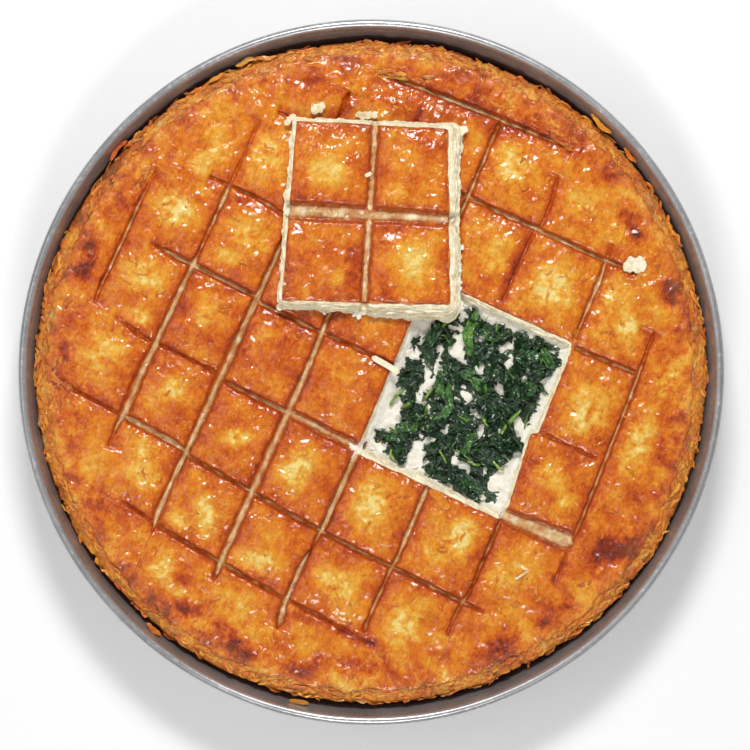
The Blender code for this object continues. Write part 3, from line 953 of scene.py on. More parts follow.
@dataclass
class ScoredSheet:
    """A glazed top sheet of pastry, cut by knife lines into squares."""

    columns: tuple[Score, ...]
    rows: tuple[Score, ...]
    spacing: float = 0.00078  # between mesh lines in the middle of a square
    gap_depth: float = 0.0034

    def lines(self, scores: tuple[Score, ...]) -> tuple[Array, Array, Array]:
        """Offset, lean and square number of each mesh line across the scores."""
        offsets, leans, squares = [], [], []
        for number, (near, far) in enumerate(zip(scores, scores[1:])):
            share = steps_across(far.offset - near.offset, self.spacing)[:-1]
            offsets.append(near.offset + (far.offset - near.offset) * share)
            leans.append(near.lean + (far.lean - near.lean) * share)
            squares.append(np.full(len(share), number))
        offsets.append(np.array([scores[-1].offset]))
        leans.append(np.array([scores[-1].lean]))
        squares.append(np.array([len(scores) - 2]))
        return np.concatenate(offsets), np.concatenate(leans), np.concatenate(squares)

    def spread(self) -> None:
        """Lays out the mesh's points over the squares."""
        co, cl, column = self.lines(self.columns)
        ro, rl, row = self.lines(self.rows)
        co, cl, ro, rl = co[None, :], cl[None, :], ro[:, None], rl[:, None]
        self.x = (co + cl * ro) / (1 - cl * rl)
        self.y = ro + rl * self.x
        self.column = np.broadcast_to(column[None, :], self.x.shape)
        self.row = np.broadcast_to(row[:, None], self.x.shape)

    def glazed(self, x: Array, y: Array, grain: Grain, level: Array,
               edge: Array) -> tuple[Array, Array, Array]:
        """Relief and colour of the sheet.

        Args:
            x: places along X for the pattern.
            y: places along Y for the pattern.
            grain: what the pattern is made with.
            level: height of the sheet before its pillows and flakes.
            edge: depth inside any other cut, negative outside.

        Returns:
            The height, the tone and how far pale layers show.
        """
        inside, width, upright = knife_gaps(self.columns, self.rows, self.x, self.y, grain)
        cut = np.maximum(inside, edge)
        out = np.maximum(-cut, 0.0)
        lift, leaf = grain.flakes(x, y, 0.016, 7.0)
        small, scale = grain.flakes(y + 0.3, x, 0.0065, 4.0, 0.35)
        uneven = 0.75 + 0.25 * grain.rough(x, y, 0.033, 2)
        crown = CROWN * smooth(-0.002, 0.015, out) * uneven
        blister = 0.00042 * grain.rough(x, y, 0.0085, 4, 0.55)
        crease = -0.00040 * (1 - np.abs(grain.rough(x * 1.3, y * 0.8, 0.011, 2))) ** 6
        skin = level + crown + lift * 0.00016 + small * 0.00007 + blister + crease
        skin -= 0.0007 * np.exp(-out / 0.0011)
        groove = smooth(-0.00045, 0.00075, inside)
        deep = np.minimum(self.gap_depth, 0.0009 + 0.75 * width)
        across, along = np.where(upright, self.x, self.y), np.where(upright, self.y, self.x)
        thread = grain.hills(across * 3.2, along * 0.35, 0.0022)
        broad = smooth(0.0035, 0.0070, width)
        thread = thread * (1.0 - 0.8 * broad) + broad * (grain.rough(x, y, 0.009, 3) - 0.1)
        height = skin - groove * (deep - 0.00035 * thread - 0.0003 * grain.rough(x, y, 0.006, 2))

        open_wide = smooth(0.0009, 0.0028, width)
        # A thin darker, browner line along each gap's edge, with the pale layers held back there: painted
        # shade where the crust drops into the gap.
        edge_shade = np.exp(-((inside - 0.0001) / 0.00040) ** 2)
        tone = 0.50 + 0.17 * np.exp(-out / 0.0022) + 0.13 * np.exp(-out / 0.0065)
        tone += 0.06 * (leaf - 0.5) + 0.05 * (scale - 0.5)
        tone += 0.15 * grain.rough(x, y, 0.013, 3) + 0.05 * grain.rough(x + 0.4, y, 0.04, 2)
        patchy = np.clip(1.0 + 0.9 * grain.rough(x + 0.2, y, 0.0045, 3, 0.6), 0.2, 1.8)
        tone = np.minimum(tone, 0.74) + 0.60 * spots(x, y, BROWN_PATCHES) * (0.35 + 0.65 * patchy)
        tone -= spots(x, y, PALE_PATCHES) * patchy
        side = 0.66 + 0.14 * grain.rough(x, y, 0.006, 3)
        tone = tone + (side - tone) * smooth(-0.0002, 0.0004, inside) * 0.8
        tone += 0.09 * edge_shade
        # In wide gaps the pale floor begins further from the edges, leaving a browner band along both walls:
        # painted shade cast by the walls.
        pale = smooth(0.0001, 0.0011 + 0.0022 * broad, inside) * (0.26 + 0.74 * open_wide)
        return height, tone, pale * (0.76 + 0.24 * thread) * (1.0 - 0.3 * edge_shade)

    def drawn(self, height: Array, depths: tuple[Array, ...]) -> tuple[Array, Array]:
        """Draws the sheet's edges onto outlines.

        Args:
            height: the sheet's height at each point.
            depths: how far each point lies beyond each outline.

        Returns:
            The points, and which quads stay.
        """
        gone = np.max(depths, axis=0) > 0
        keep = ~(gone[:-1, :-1] & gone[1:, :-1] & gone[:-1, 1:] & gone[1:, 1:])
        x, y = self.x.copy(), self.y.copy()
        for depth in depths:
            by_line, by_place = np.gradient(depth)
            slope_x = by_place / np.gradient(self.x, axis=1)
            slope_y = by_line / np.gradient(self.y, axis=0)
            steep = np.maximum(np.hypot(slope_x, slope_y), 0.2)
            pull = np.where((depth > 0) & (depth < 0.0016), depth / steep**2, 0.0)
            x -= pull * slope_x
            y -= pull * slope_y
        return as_points(x, y, height), keep.ravel()


@dataclass
class ScoredCrust(ScoredSheet):
    """The top of the pie, with the opening where the portion was."""

    columns: tuple[Score, ...] = COLUMNS
    rows: tuple[Score, ...] = ROWS
    sheet_edge: float = 0.0070  # how far the glazed sheet ends inside the crust's outline
    split: tuple[int, ...] = (0, 3, 5, 7, 9)  # columns where one piece of the sheet ends

    def build(self, finish: bpy.types.Material) -> list[bpy.types.Object]:
        """Makes the sheet as strips of columns, each a piece with hanging edges."""
        self.spread()
        x, y, grain = self.x, self.y, CRUST_GRAIN
        angle = np.arctan2(y, x)
        inset = pie_radius(angle) - np.hypot(x, y)
        rounded = np.cos(angle) * 0.2, np.sin(angle) * 0.2
        past = self.sheet_edge + 0.0022 * grain.rough(*rounded, 0.012, 4) - inset
        opening = OPENING.depth(x, y) + 0.0005 * grain.rough(x, y, 0.005, 3)
        dome = DOME * np.clip(1 - (x * x + y * y) / PIE_RADIUS**2, 0, 1)
        level = np.minimum(CRUST_TOP + dome, border_height(inset) - 0.0006)
        height, tone, pale = self.glazed(x, y, grain, level, opening)
        tone += smooth(0.036, 0.012, inset) * (0.10 + 0.27 * grain.rough(x, y, 0.017, 4, 0.65))
        pale += 0.5 * smooth(-0.0022, -0.0002, past) * smooth(-0.2, 0.5, grain.rough(x, y, 0.012, 2))
        dry = smooth(0.018, 0.008, inset + 0.004 * grain.rough(x, y, 0.010, 2)) * 0.55
        points, keep = self.drawn(height, (past, opening))
        sheet = Surface(points, [grid_faces(*x.shape)], crust_values(tone, pale, dry))
        number = self.column[:-1, :-1].ravel()
        pieces = []
        for index, (first, last) in enumerate(zip(self.split, self.split[1:])):
            part = sheet.only(keep & (number >= first) & (number < last))
            pieces.append(part.skirted(SKIRT_DROP).piece(f"crust_sheet_{index + 1}", finish))
        return pieces


@dataclass
class CrustBorder:
    """The dry, flaky border of the crust: the edges of its stacked layers, and its side wall."""

    around: int = 1400
    depth_in: float = 0.0200  # how far it reaches in under the glazed sheet
    foot: float = SHEET + 0.0006

    def build(self, finish: bpy.types.Material) -> bpy.types.Object:
        """Makes the ring, closed underneath."""
        grain = CRUST_GRAIN
        angle = np.linspace(0, 2 * np.pi, self.around, endpoint=False)[None, :]
        top = np.concatenate([np.linspace(self.depth_in, 0.0040, 22), np.linspace(0.0035, 0.0, 8)])[:, None]
        fall = np.array([0.0009, 0.0018, 0.0030, 0.0045, 0.0070, 0.0100])[:, None]
        cx, cy = np.cos(angle), np.sin(angle)
        ring_x, ring_y = cx * 0.18, cy * 0.18
        notch = grain.rough(ring_x, ring_y, 0.012, 5, 0.62)
        torn = 0.0004 * notch
        torn = torn + 0.0009 * smooth(0.30, 0.60, grain.rough(ring_x + 0.5, ring_y, 0.004, 3, 0.7))
        inset = np.broadcast_to(top, (len(top), self.around))
        radius = pie_radius(angle) - inset - torn * smooth(0.010, 0.0, inset)
        x, y = radius * cx, radius * cy
        lift, leaf = grain.flakes(angle * 0.05 + 0.02 * notch, inset * 1.6, 0.0040, 6.0, 0.3)
        wide, shade = grain.flakes(x, y, 0.013, 5.0, 0.2)
        bent = angle * ARC + 0.15 * grain.hills(angle * ARC, inset, 0.010)
        wrinkle = grain.rough(bent, inset * 0.35, 0.0035, 3)
        shoulder = np.interp(inset, (0.0, 0.0008, 0.0032, 0.0085), (0.0, 0.0022, 0.0043, 0.0056))
        height = np.minimum(PIE_LEVEL + shoulder, CRUST_TOP + 0.0002)
        rough = lift * 0.00016 + wide * 0.00022 + 0.00035 * wrinkle - 0.0002
        z = height + rough * smooth(0.0, 0.0012, inset) - 0.0005 * smooth(0.008, 0.014, inset)
        tone = 0.51 + 0.12 * (leaf - 0.5) + 0.16 * (shade - 0.5) + 0.24 * grain.rough(x, y, 0.016, 4)
        tone += 0.8 * spots(x, y, BROWN_PATCHES) + 0.12 * smooth(0.0015, 0.0, inset)
        left = smooth(-0.120, -0.170, x) * smooth(-0.09, 0.0, y)
        tone += 0.24 * left * (0.6 + grain.rough(x * 2, y, 0.012, 2))
        pale = 0.42 * smooth(0.25, 0.85, shade + 0.5 * leaf - 0.2) + 0.25 * grain.rough(x, y, 0.009, 3)
        low_inset = fall * WALL_SLOPE + 0.0002
        low_radius = pie_radius(angle) - low_inset - torn * 0.8
        low_radius = low_radius + 0.0004 * grain.hills(angle * ARC, fall * 3, 0.004)
        low_z = PIE_LEVEL - fall + 0.0 * angle
        feet = ((0.0105, 0.0040), (0.0125, self.foot), (0.0240, self.foot), (self.depth_in + 0.002, 0.026))
        end_radius = np.stack([pie_radius(angle[0]) - inset_at for inset_at, _ in feet])
        end_z = np.stack([np.full(self.around, at) for _, at in feet])
        radii = np.concatenate([radius, low_radius, end_radius])
        heights = np.concatenate([z, low_z, end_z])
        points = as_points(radii * cx, radii * cy, heights)
        lines = len(radii)
        under = np.full((lines - len(tone), self.around), 0.62)
        bare = np.zeros((lines - len(pale), self.around))
        values = crust_values(np.concatenate([tone, under]), np.concatenate([pale, bare]), 0.9)
        faces = closed_faces(lines, self.around)[:, ::-1]
        return Surface(points, [faces], values).piece("crust_border", finish)


# ---------------------------------------------------------------- the tin
class Recipe:
    """A Geometry Nodes tree that is being written."""

    def __init__(self, name: str, inputs: dict[str, tuple[str, float | int]]) -> None:
        """Starts a tree.

        Args:
            name: its name.
            inputs: the socket type and value of each named input.
        """
        self.tree = bpy.data.node_groups.new(name, "GeometryNodeTree")
        face = self.tree.interface
        face.new_socket("Geometry", in_out="INPUT", socket_type="NodeSocketGeometry")
        face.new_socket("Geometry", in_out="OUTPUT", socket_type="NodeSocketGeometry")
        self.names = {}
        for key, (kind, value) in inputs.items():
            made = face.new_socket(key, in_out="INPUT", socket_type=f"NodeSocket{kind}")
            if value is not None:
                made.default_value = value
            self.names[key] = made.identifier
        self.start = self.tree.nodes.new("NodeGroupInput")
        self.end = self.tree.nodes.new("NodeGroupOutput")

    def given(self, name: str) -> bpy.types.NodeSocket:
        """A named input of the tree."""
        return self.start.outputs[name]

    def add(self, kind: str, settings: dict | None = None, sockets: dict | None = None) -> bpy.types.Node:
        """Adds a node, with its settings first, then values or links for its inputs."""
        node = self.tree.nodes.new(kind)
        for key, value in (settings or {}).items():
            setattr(node, key, value)
        for key, value in (sockets or {}).items():
            target = Paint.socket(node.inputs, key)
            if isinstance(value, bpy.types.NodeSocket):
                self.tree.links.new(value, target)
            else:
                target.default_value = value
        return node

    def finish(self, geometry: bpy.types.NodeSocket, material: bpy.types.NodeSocket) -> None:
        """Ends the tree in Realize Instances and Set Material."""
        real = self.add("GeometryNodeRealizeInstances", {}, {"Geometry": geometry})
        sockets = {"Geometry": real.outputs[0], "Material": material}
        self.tree.links.new(self.add("GeometryNodeSetMaterial", {}, sockets).outputs[0], self.end.inputs[0])

    def maths(self, operation: str, first: object, second: object) -> bpy.types.NodeSocket:
        """One Math node's result."""
        return self.add("ShaderNodeMath", {"operation": operation}, {0: first, 1: second}).outputs[0]

    def run(self, host: bpy.types.Object, name: str, **inputs: object) -> bpy.types.Object:
        """Runs the tree on a host object and keeps the result as a plain mesh.

        Args:
            host: the object the tree starts from, which is removed.
            name: name of the piece that is made.
            **inputs: values for the tree's named inputs, with _ for spaces.

        Returns:
            The new piece.
        """
        modifier = host.modifiers.new(name, "NODES")
        modifier.node_group = self.tree
        for key, value in inputs.items():
            modifier[self.names[key.replace("_", " ")]] = value
        host.update_tag()
        graph = bpy.context.evaluated_depsgraph_get()
        mesh = bpy.data.meshes.new_from_object(host.evaluated_get(graph))
        mesh.name = name
        host.modifiers.clear()
        bpy.data.objects.remove(host)
        made = bpy.data.objects.new(name, mesh)
        bpy.context.scene.collection.objects.link(made)
        return made


def arc(centre: tuple[float, float], radius: float, start: float, end: float,
        steps: int) -> list[tuple[float, float]]:
    """Points (radius, height) along an arc, its angles in degrees."""
    angles = [math.radians(start + (end - start) * i / steps) for i in range(steps + 1)]
    return [(centre[0] + radius * math.cos(a), centre[1] + radius * math.sin(a)) for a in angles]


def wall_radius(height: float) -> float:
    """Inner radius of the tin's wall at a height."""
    return TIN_RADIUS - 2 * RIM_ROLL - WALL_SLOPE * (TIN_HEIGHT - RIM_ROLL - height)


@dataclass
class Tin:
    """The spun baking tin with its rolled rim."""

    turns: int = 288
    dent: float = 0.00035

    def profile(self) -> list[tuple[float, float]]:
        """The section from the middle of the floor, up inside, over the roll and back outside."""
        lean = math.degrees(math.atan(WALL_SLOPE))
        roll = (TIN_RADIUS - RIM_ROLL, TIN_HEIGHT - RIM_ROLL)
        corner = (wall_radius(SHEET + FLOOR_CORNER) - FLOOR_CORNER, SHEET + FLOOR_CORNER)
        floor = [(r, SHEET) for r in np.linspace(0.0, corner[0] - 0.004, 12)]
        line = floor + arc(corner, FLOOR_CORNER, -90, -lean, 8)
        line += [(wall_radius(z), z) for z in np.linspace(0.012, roll[1] - 0.004, 8)]
        line += arc(roll, RIM_ROLL, 172, -108, 22)
        line += [(wall_radius(z) + SHEET, z) for z in np.linspace(roll[1] - RIM_ROLL * 0.9, 0.012, 8)]
        line += arc(corner, FLOOR_CORNER + SHEET, -lean, -90, 8)
        return line + [(r, 0.0) for r in np.linspace(corner[0] - 0.004, 0.0, 12)]

    def recipe(self) -> Recipe:
        """The tree that turns a profile round and gives the sheet its slight dents."""
        inputs = {
            "Rim radius": ("Float", TIN_RADIUS), "Turns": ("Int", self.turns), "Dent": ("Float", self.dent),
            "Dent size": ("Float", 0.05), "Material": ("Material", None),
        }
        recipe = Recipe("spun tin", inputs)
        section = recipe.add("GeometryNodeMeshToCurve", {}, {"Mesh": recipe.given("Geometry")})
        ring = recipe.add("GeometryNodeCurvePrimitiveCircle", {}, {
            "Resolution": recipe.given("Turns"), "Radius": recipe.given("Rim radius"),
        })
        upright = recipe.add("GeometryNodeSetCurveNormal", {"mode": "Z_UP"}, {"Curve": ring.outputs[0]})
        spun = recipe.add("GeometryNodeCurveToMesh", {}, {
            "Curve": upright.outputs[0], "Profile Curve": section.outputs[0],
        })
        closed = recipe.add("GeometryNodeMergeByDistance", {}, {
            "Geometry": spun.outputs[0], "Distance": 0.00002,
        })
        here = recipe.add("GeometryNodeInputPosition")
        hills = recipe.add("ShaderNodeTexNoise", {"noise_dimensions": "3D"}, {
            "Vector": here.outputs[0], "Scale": recipe.maths("DIVIDE", 1.0, recipe.given("Dent size")),
            "Detail": 2.0,
        })
        middle = recipe.maths("SUBTRACT", hills.outputs[0], 0.5)
        depth = recipe.maths("MULTIPLY", middle, recipe.given("Dent"))
        outward = recipe.add("ShaderNodeVectorMath", {"operation": "MULTIPLY"}, {
            0: here.outputs[0], 1: (1.0 / TIN_RADIUS, 1.0 / TIN_RADIUS, 0.0),
        })
        push = recipe.add("ShaderNodeVectorMath", {"operation": "SCALE"}, {
            0: outward.outputs[0], "Scale": depth,
        })
        dented = recipe.add("GeometryNodeSetPosition", {}, {
            "Geometry": closed.outputs[0], "Offset": push.outputs[0],
        })
        smoothed = recipe.add("GeometryNodeSetShadeSmooth", {}, {"Geometry": dented.outputs[0]})
        recipe.finish(smoothed.outputs[0], recipe.given("Material"))
        return recipe

    def build(self, finish: bpy.types.Material) -> bpy.types.Object:
        """Makes the tin."""
        mesh = bpy.data.meshes.new("tin profile")
        line = [(r - TIN_RADIUS, -z, 0.0) for r, z in self.profile()]
        mesh.from_pydata(line, [(i, i + 1) for i in range(len(line) - 1)], [])
        host = bpy.data.objects.new("tin profile", mesh)
        bpy.context.scene.collection.objects.link(host)
        made = self.recipe().run(host, "spun_tin", Material=finish)
        outwards(made.data)
        return made


def outwards(mesh: bpy.types.Mesh) -> None:
    """Turns a closed mesh's faces to point out."""
    bm = bmesh.new()
    bm.from_mesh(mesh)
    bmesh.ops.recalc_face_normals(bm, faces=bm.faces)
    bm.to_mesh(mesh)
    bm.free()


# ---------------------------------------------------------------- layers and leaves
@dataclass
class LayerStack:
    """The torn edges of stacked pastry sheets along an outline."""

    outline: Outline
    top: float
    foot: float
    side: int  # 1 where they reach out of the outline, -1 where they reach into it
    reach: Callable[[Array, Array], Array]  # of the lowest sheet, from the points and directions
    dip: Callable[[Array, Array], Array]  # how far the knife gaps have pushed the crust down
    sheets: int = 9
    hidden: float = 0.006  # how far each sheet runs on under the crust
    sag: float = 0.0006
    crisp: int = 1  # how many of the top sheets are browned
    seed: int = 31

    def build(self) -> Surface:
        """Makes the sheets, each a closed ring."""
        line, out = self.outline.path(EDGE_STEP, 5)
        count = len(line)
        along = np.arange(count) * EDGE_STEP
        drift = Grain(self.seed + 50).rough(along, 0 * along, 0.016, 3)
        parts = []
        for number in range(self.sheets):
            share = number / (self.sheets - 1)
            grain = Grain(self.seed + number)
            far = self.reach(line, out) * (0.08 + 0.92 * share**0.8)
            torn = 0.0012 * grain.rough(along, 0 * along, 0.013, 5, 0.65) + 0.0010 * drift
            far = np.maximum(far + torn * (0.25 + 0.75 * share), 0.0002)
            level = self.top + (self.foot - self.top) * share**1.7
            curl = 0.0010 * grain.rough(along, 0 * along + 0.3, 0.014, 3) - self.sag
            steps = np.array([-1.0, -0.4, 0.0, 0.35, 0.7, 0.9, 1.0])
            run = np.where(steps[:, None] < 0, steps[:, None] * self.hidden, steps[:, None] * far)
            bend = np.maximum(steps, 0.0)[:, None] ** 1.6 * curl
            ripple = 0.00022 * grain.rough(along[None, :], run * 2.0, 0.0045, 3)
            upper = level + bend + ripple
            thick = np.array([0.0006, 0.0006, 0.0006, 0.0006, 0.0005, 0.0004, 0.0002])[:, None]
            runs = np.concatenate([run, run[::-1]])
            heights = np.concatenate([upper, (upper - thick)[::-1]])
            x = line[:, 0] + self.side * out[:, 0] * runs
            y = line[:, 1] + self.side * out[:, 1] * runs
            lowest = np.maximum(self.top - self.dip(x, y) - 0.00025 * number, self.foot)
            heights = heights - np.maximum(level - lowest, 0.0)
            faces = closed_faces(len(runs), count)[:, ::self.side]
            toast = grain.rough(x, y, 0.006, 3)
            brown, light = (0.62, 0.25) if number < self.crisp else (0.06, 0.95)
            values = crust_values(brown + 0.25 * toast, light + 0.15 * toast, 0.8)
            parts.append(Surface(as_points(x, y, heights), [faces], values))
        return joined(parts)


@dataclass(frozen=True)
class Leaf:
    """A thin crumpled leaf or flake, closed, lying along X about the origin."""

    length: float
    width: float
    crumple: float  # height of its creases
    crease: float  # width of its creases
    fold: float = 0.0  # rise of its sides beside the midrib, as a share of their width
    curl: float = 0.0  # rise of its ends
    ragged: float = 0.15
    thickness: float = 0.0003
    lines: int = 7
    across: int = 13
    blunt: float = 2.0  # 2 for rounded ends, more for squarer ones

    def surface(self, seed: int, values: dict[str, float]) -> Surface:
        """Makes one.

        Args:
            seed: makes it differ from its like.
            values: its material's values.

        Returns:
            The leaf.
        """
        grain = Grain(seed)
        v, u = np.meshgrid(np.linspace(-1, 1, self.lines), np.linspace(-1, 1, self.across), indexing="ij")
        half = self.width / 2 * np.sqrt(1 - 0.93 * np.abs(u) ** self.blunt)
        half = half * (1 + self.ragged * grain.rough(u * 0.5, np.sign(v) * 0.7, 0.22, 3, 0.7))
        bow = 0.5 * self.ragged * self.length * grain.hills(u * 0.5, 0 * u, 0.8)
        x, y = self.length / 2 * u * (1 + 0.06 * grain.hills(v, u, 0.6)), half * v + bow
        z = self.crumple * grain.rough(x, y, self.crease, 2)
        z = z + self.fold * np.abs(v) * half + self.curl * u * u
        sheet = Surface(as_points(x, y, z), [grid_faces(self.lines, self.across)])
        sheet.values = {key: np.full(x.size, value) for key, value in values.items()}
        return sheet.thickened(self.thickness)


def tube(path: list[tuple[float, float, float]], radius: float, shade: float, sides: int = 7) -> Surface:
    """A round stalk along a path, thinner at its ends and closed.

    Args:
        path: points along its middle, which are rounded over.
        radius: its radius.
        shade: its material's value.
        sides: points round it.

    Returns:
        The stalk.
    """
    rough, ends = np.array(path), np.linspace(0, len(path) - 1, 6 * len(path))
    line = np.stack([np.interp(ends, range(len(path)), rough[:, k]) for k in range(3)], axis=-1)
    for _ in range(6):
        line[1:-1] = (line[:-2] + 2 * line[1:-1] + line[2:]) / 4
    ahead = np.gradient(line, axis=0)
    ahead /= np.linalg.norm(ahead, axis=1, keepdims=True)
    sideways = np.cross(ahead, (0.0, 0.0, 1.0))
    sideways /= np.linalg.norm(sideways, axis=1, keepdims=True)
    upward = np.cross(sideways, ahead)
    angle = np.linspace(0, 2 * np.pi, sides, endpoint=False)
    share = np.linspace(-1, 1, len(line))
    size = radius * (1 - 0.35 * share**2) * (1 + 0.12 * np.sin(share * 9 + shade * 20))
    ring = np.cos(angle)[None, :, None] * sideways[:, None] + np.sin(angle)[None, :, None] * upward[:, None]
    points = (line[:, None] + ring * size[:, None, None]).reshape(-1, 3)
    caps = np.stack([np.arange(sides)[::-1], np.arange(sides) + (len(line) - 1) * sides])
    faces = [grid_faces(len(line), sides, ring=True), caps]
    return Surface(points, faces, {"shade": np.full(len(points), shade)})


@dataclass(frozen=True)
class Scatter:
    """Small things strewn over a surface as far as its value cover allows."""

    density: float  # per square metre
    seed: int
    smallest: float = 0.7
    largest: float = 1.2
    tilt: float = 0.35

    def recipe(self) -> Recipe:
        """The tree that strews them."""
        inputs = {
            "Variants": ("Collection", None), "Density": ("Float", self.density),
            "Seed": ("Int", self.seed), "Smallest": ("Float", self.smallest),
            "Largest": ("Float", self.largest), "Tilt": ("Float", self.tilt), "Material": ("Material", None),
        }
        recipe = Recipe("strewn", inputs)
        cover = recipe.add("GeometryNodeInputNamedAttribute", {"data_type": "FLOAT"}, {"Name": "cover"})
        often = recipe.maths("MULTIPLY", cover.outputs[0], recipe.given("Density"))
        places = recipe.add("GeometryNodeDistributePointsOnFaces", {"distribute_method": "RANDOM"}, {
            "Mesh": recipe.given("Geometry"), "Density": often, "Seed": recipe.given("Seed"),
        })
        kinds = recipe.add("GeometryNodeCollectionInfo", {}, {
            "Collection": recipe.given("Variants"), "Separate Children": True, "Reset Children": True,
        })
        lean = recipe.maths("MULTIPLY", recipe.given("Tilt"), -1.0)
        low = recipe.add("ShaderNodeCombineXYZ", {}, {"X": lean, "Y": lean, "Z": -math.pi})
        high = recipe.add("ShaderNodeCombineXYZ", {}, {
            "X": recipe.given("Tilt"), "Y": recipe.given("Tilt"), "Z": math.pi,
        })
        spin = recipe.add("FunctionNodeRandomValue", {"data_type": "FLOAT_VECTOR"}, {
            "Min": low.outputs[0], "Max": high.outputs[0], "Seed": recipe.given("Seed"),
        })
        turn = recipe.add("FunctionNodeEulerToRotation", {}, {0: spin.outputs[0]})
        facing = recipe.add("FunctionNodeRotateRotation", {"rotation_space": "LOCAL"}, {
            "Rotation": places.outputs["Rotation"], "Rotate By": turn.outputs[0],
        })
        size = recipe.add("FunctionNodeRandomValue", {"data_type": "FLOAT"}, {
            "Min": recipe.given("Smallest"), "Max": recipe.given("Largest"), "Seed": recipe.given("Seed"),
        })
        strewn = recipe.add("GeometryNodeInstanceOnPoints", {}, {
            "Points": places.outputs["Points"], "Instance": kinds.outputs[0], "Pick Instance": True,
            "Rotation": facing.outputs[0], "Scale": Paint.socket(size.outputs, "Value"),
        })
        each = recipe.add("FunctionNodeRandomValue", {"data_type": "FLOAT"}, {"Seed": 5})
        kind = {"data_type": "FLOAT", "domain": "INSTANCE"}
        shaded = recipe.add("GeometryNodeStoreNamedAttribute", kind, {
            "Geometry": strewn.outputs[0], "Name": "shade", "Value": Paint.socket(each.outputs, "Value"),
        })
        recipe.finish(shaded.outputs[0], recipe.given("Material"))
        return recipe

    def strewn(self, name: str, host: Surface, variants: list[Surface],
               finish: bpy.types.Material) -> bpy.types.Object:
        """Strews the variants over the host.

        Args:
            name: name of the piece that is made.
            host: the surface, with its value cover.
            variants: the things.
            finish: their material.

        Returns:
            The piece, of joined meshes.
        """
        group = bpy.data.collections.new(f"{name} variants")
        for number, variant in enumerate(variants):
            made = variant.piece(f"{name} variant {number}", finish)
            bpy.context.scene.collection.objects.unlink(made)
            group.objects.link(made)
        made = self.recipe().run(host.piece(f"{name} host", finish), name, Variants=group, Material=finish)
        made.data.shade_smooth()
        for variant in list(group.objects):
            bpy.data.objects.remove(variant)
        bpy.data.collections.remove(group)
        return made


# ---------------------------------------------------------------- the opening
SPINACH = Outline(in_metres((
    (30, 52), (26.5, 46), (19, 38), (18.5, 30), (11.5, 29), (11, 20), (12, 7), (15, -3), (14, -10),
    (17.5, -13), (21.5, -8), (25, -13), (24, -22.5), (15, -23.5), (13, -27), (15, -32), (22, -32.5),
    (28, -38.5), (36, -37), (40.5, -29), (49, -31), (48, -37), (51, -39.5), (57, -38), (64, -35),
    (73, -39), (89, -39), (92, -33), (97, -29), (95, -26.5), (90, -28), (84.5, -24.5), (90.5, -10),
    (93.5, -8), (91.5, 3), (94, 9.5), (90, 13), (89.5, 24), (93, 29), (88.5, 34.5), (84.5, 34.5),
    (86, 39.5), (92.5, 43), (92, 53), (84, 56), (73, 58), (69, 53), (65, 56), (60, 53.5), (54, 55),
    (44, 52), (34.5, 57),
)))
# Where the cheese shows between the leaves, in millimetres: x, y, half length, half width, turn.
BARE_PATCHES = (
    (37, 36.5, 7, 2.8, 80), (41, 28.8, 7, 2.5, -5), (31, 41.5, 3.5, 1.6, 10), (54, 27.5, 3.8, 2.9, 20),
    (65.5, 35.5, 6, 1.8, 100), (87, 36.5, 4.5, 3, 45), (92.5, 17, 10, 3.6, 100), (86, 7, 8, 2.1, -50),
    (67, 22, 3.5, 1.9, -30), (32, 18, 7, 2, -70), (27.5, 14, 4.5, 1.7, -75), (30, 4, 6, 2.7, 70),
    (54, 10, 5.5, 1.7, -15), (60, 5, 5.5, 1.9, -45), (66, -2, 7, 2.2, -80), (39.5, 4.5, 4, 1.4, 70),
    (17, 19.5, 4, 3, 30), (14.5, -6, 10, 2.6, -75), (18, -15.5, 9, 7, 60), (50.5, -10.5, 3, 2.2, 0),
    (41, -29, 9, 3.2, -70), (43, -35, 5.5, 4, -30), (43.5, -20, 4.5, 1.7, 15), (61.5, -24, 2.7, 2, 0),
    (68.5, -25.5, 3, 3, 0), (90, -20, 10, 4.6, 65), (87, -14.5, 3, 1.7, 0), (78, -22, 2, 1.6, 0),
)
# Stalks that can be told apart, in millimetres: from x, y to x, y, then their radius.
STALKS = (
    (27, 44, 22, 35, 1), (82.5, 17, 78, 0, 1.4), (20, 0, 17, -12, 1), (27, -3, 23, -11, 1.1),
    (34, 7, 32, -2, .9), (56, -3, 64, 0, .9), (62, 7, 73, 0, .6), (46, -20, 58, -27, .8),
    (80, -15, 88, -17, .9), (68, -21, 75, -20, .8), (22, -23, 31, -23, .8), (28, -33, 33, -38, .9),
    (38, -16, 40, -8, .8), (41.5, 52, 42.5, 33, 1),
)

# Leaves that lie on top, in millimetres: x, y, length, width, turn, then their shade.
TOP_LEAVES = (
    (39.5, 42.5, 25, 5.5, -73, .70), (43.5, 2.5, 21, 5.0, -88, .60), (72, 44, 15, 7, 20, .45),
    (79.5, 27, 14, 7.5, 60, .5), (57, 18, 15, 5.5, -30, .62), (30, -18, 13, 6, 40, .6),
    (75, -31, 16, 7, -12, .3), (64, -12, 14, 6, 75, .62), (22, 33, 14, 6, 80, .35),
    (50, 47, 13, 6, 10, .55), (37, 10, 16, 5, -60, .56), (46, 20, 14, 5, 35, .5),
    (83, 48, 13, 5, -35, .6), (26, -26, 12, 5, 15, .45),
)


def over_opening(spacing: float) -> tuple[Array, Array]:
    """A grid of places over the opening and a little beyond its edges."""
    across = np.arange(0.0020, 0.1030, spacing)
    along = np.arange(-0.0480, 0.0660, spacing)
    return np.meshgrid(across, along)


def spinach_cover(x: Array, y: Array) -> Array:
    """Where spinach lies, from 0 to 1."""
    depth = SPINACH.depth(x, y) + 0.0006 * Grain(3).rough(x, y, 0.004, 3)
    holes = smooth(0.52, 0.40, Grain(5).rough(x, y, 0.0075, 3))
    bare = spots(x, y, tuple((*patch, 1.0) for patch in BARE_PATCHES))
    return smooth(-0.0004, 0.0009, depth) * holes * smooth(0.46, 0.16, bare)


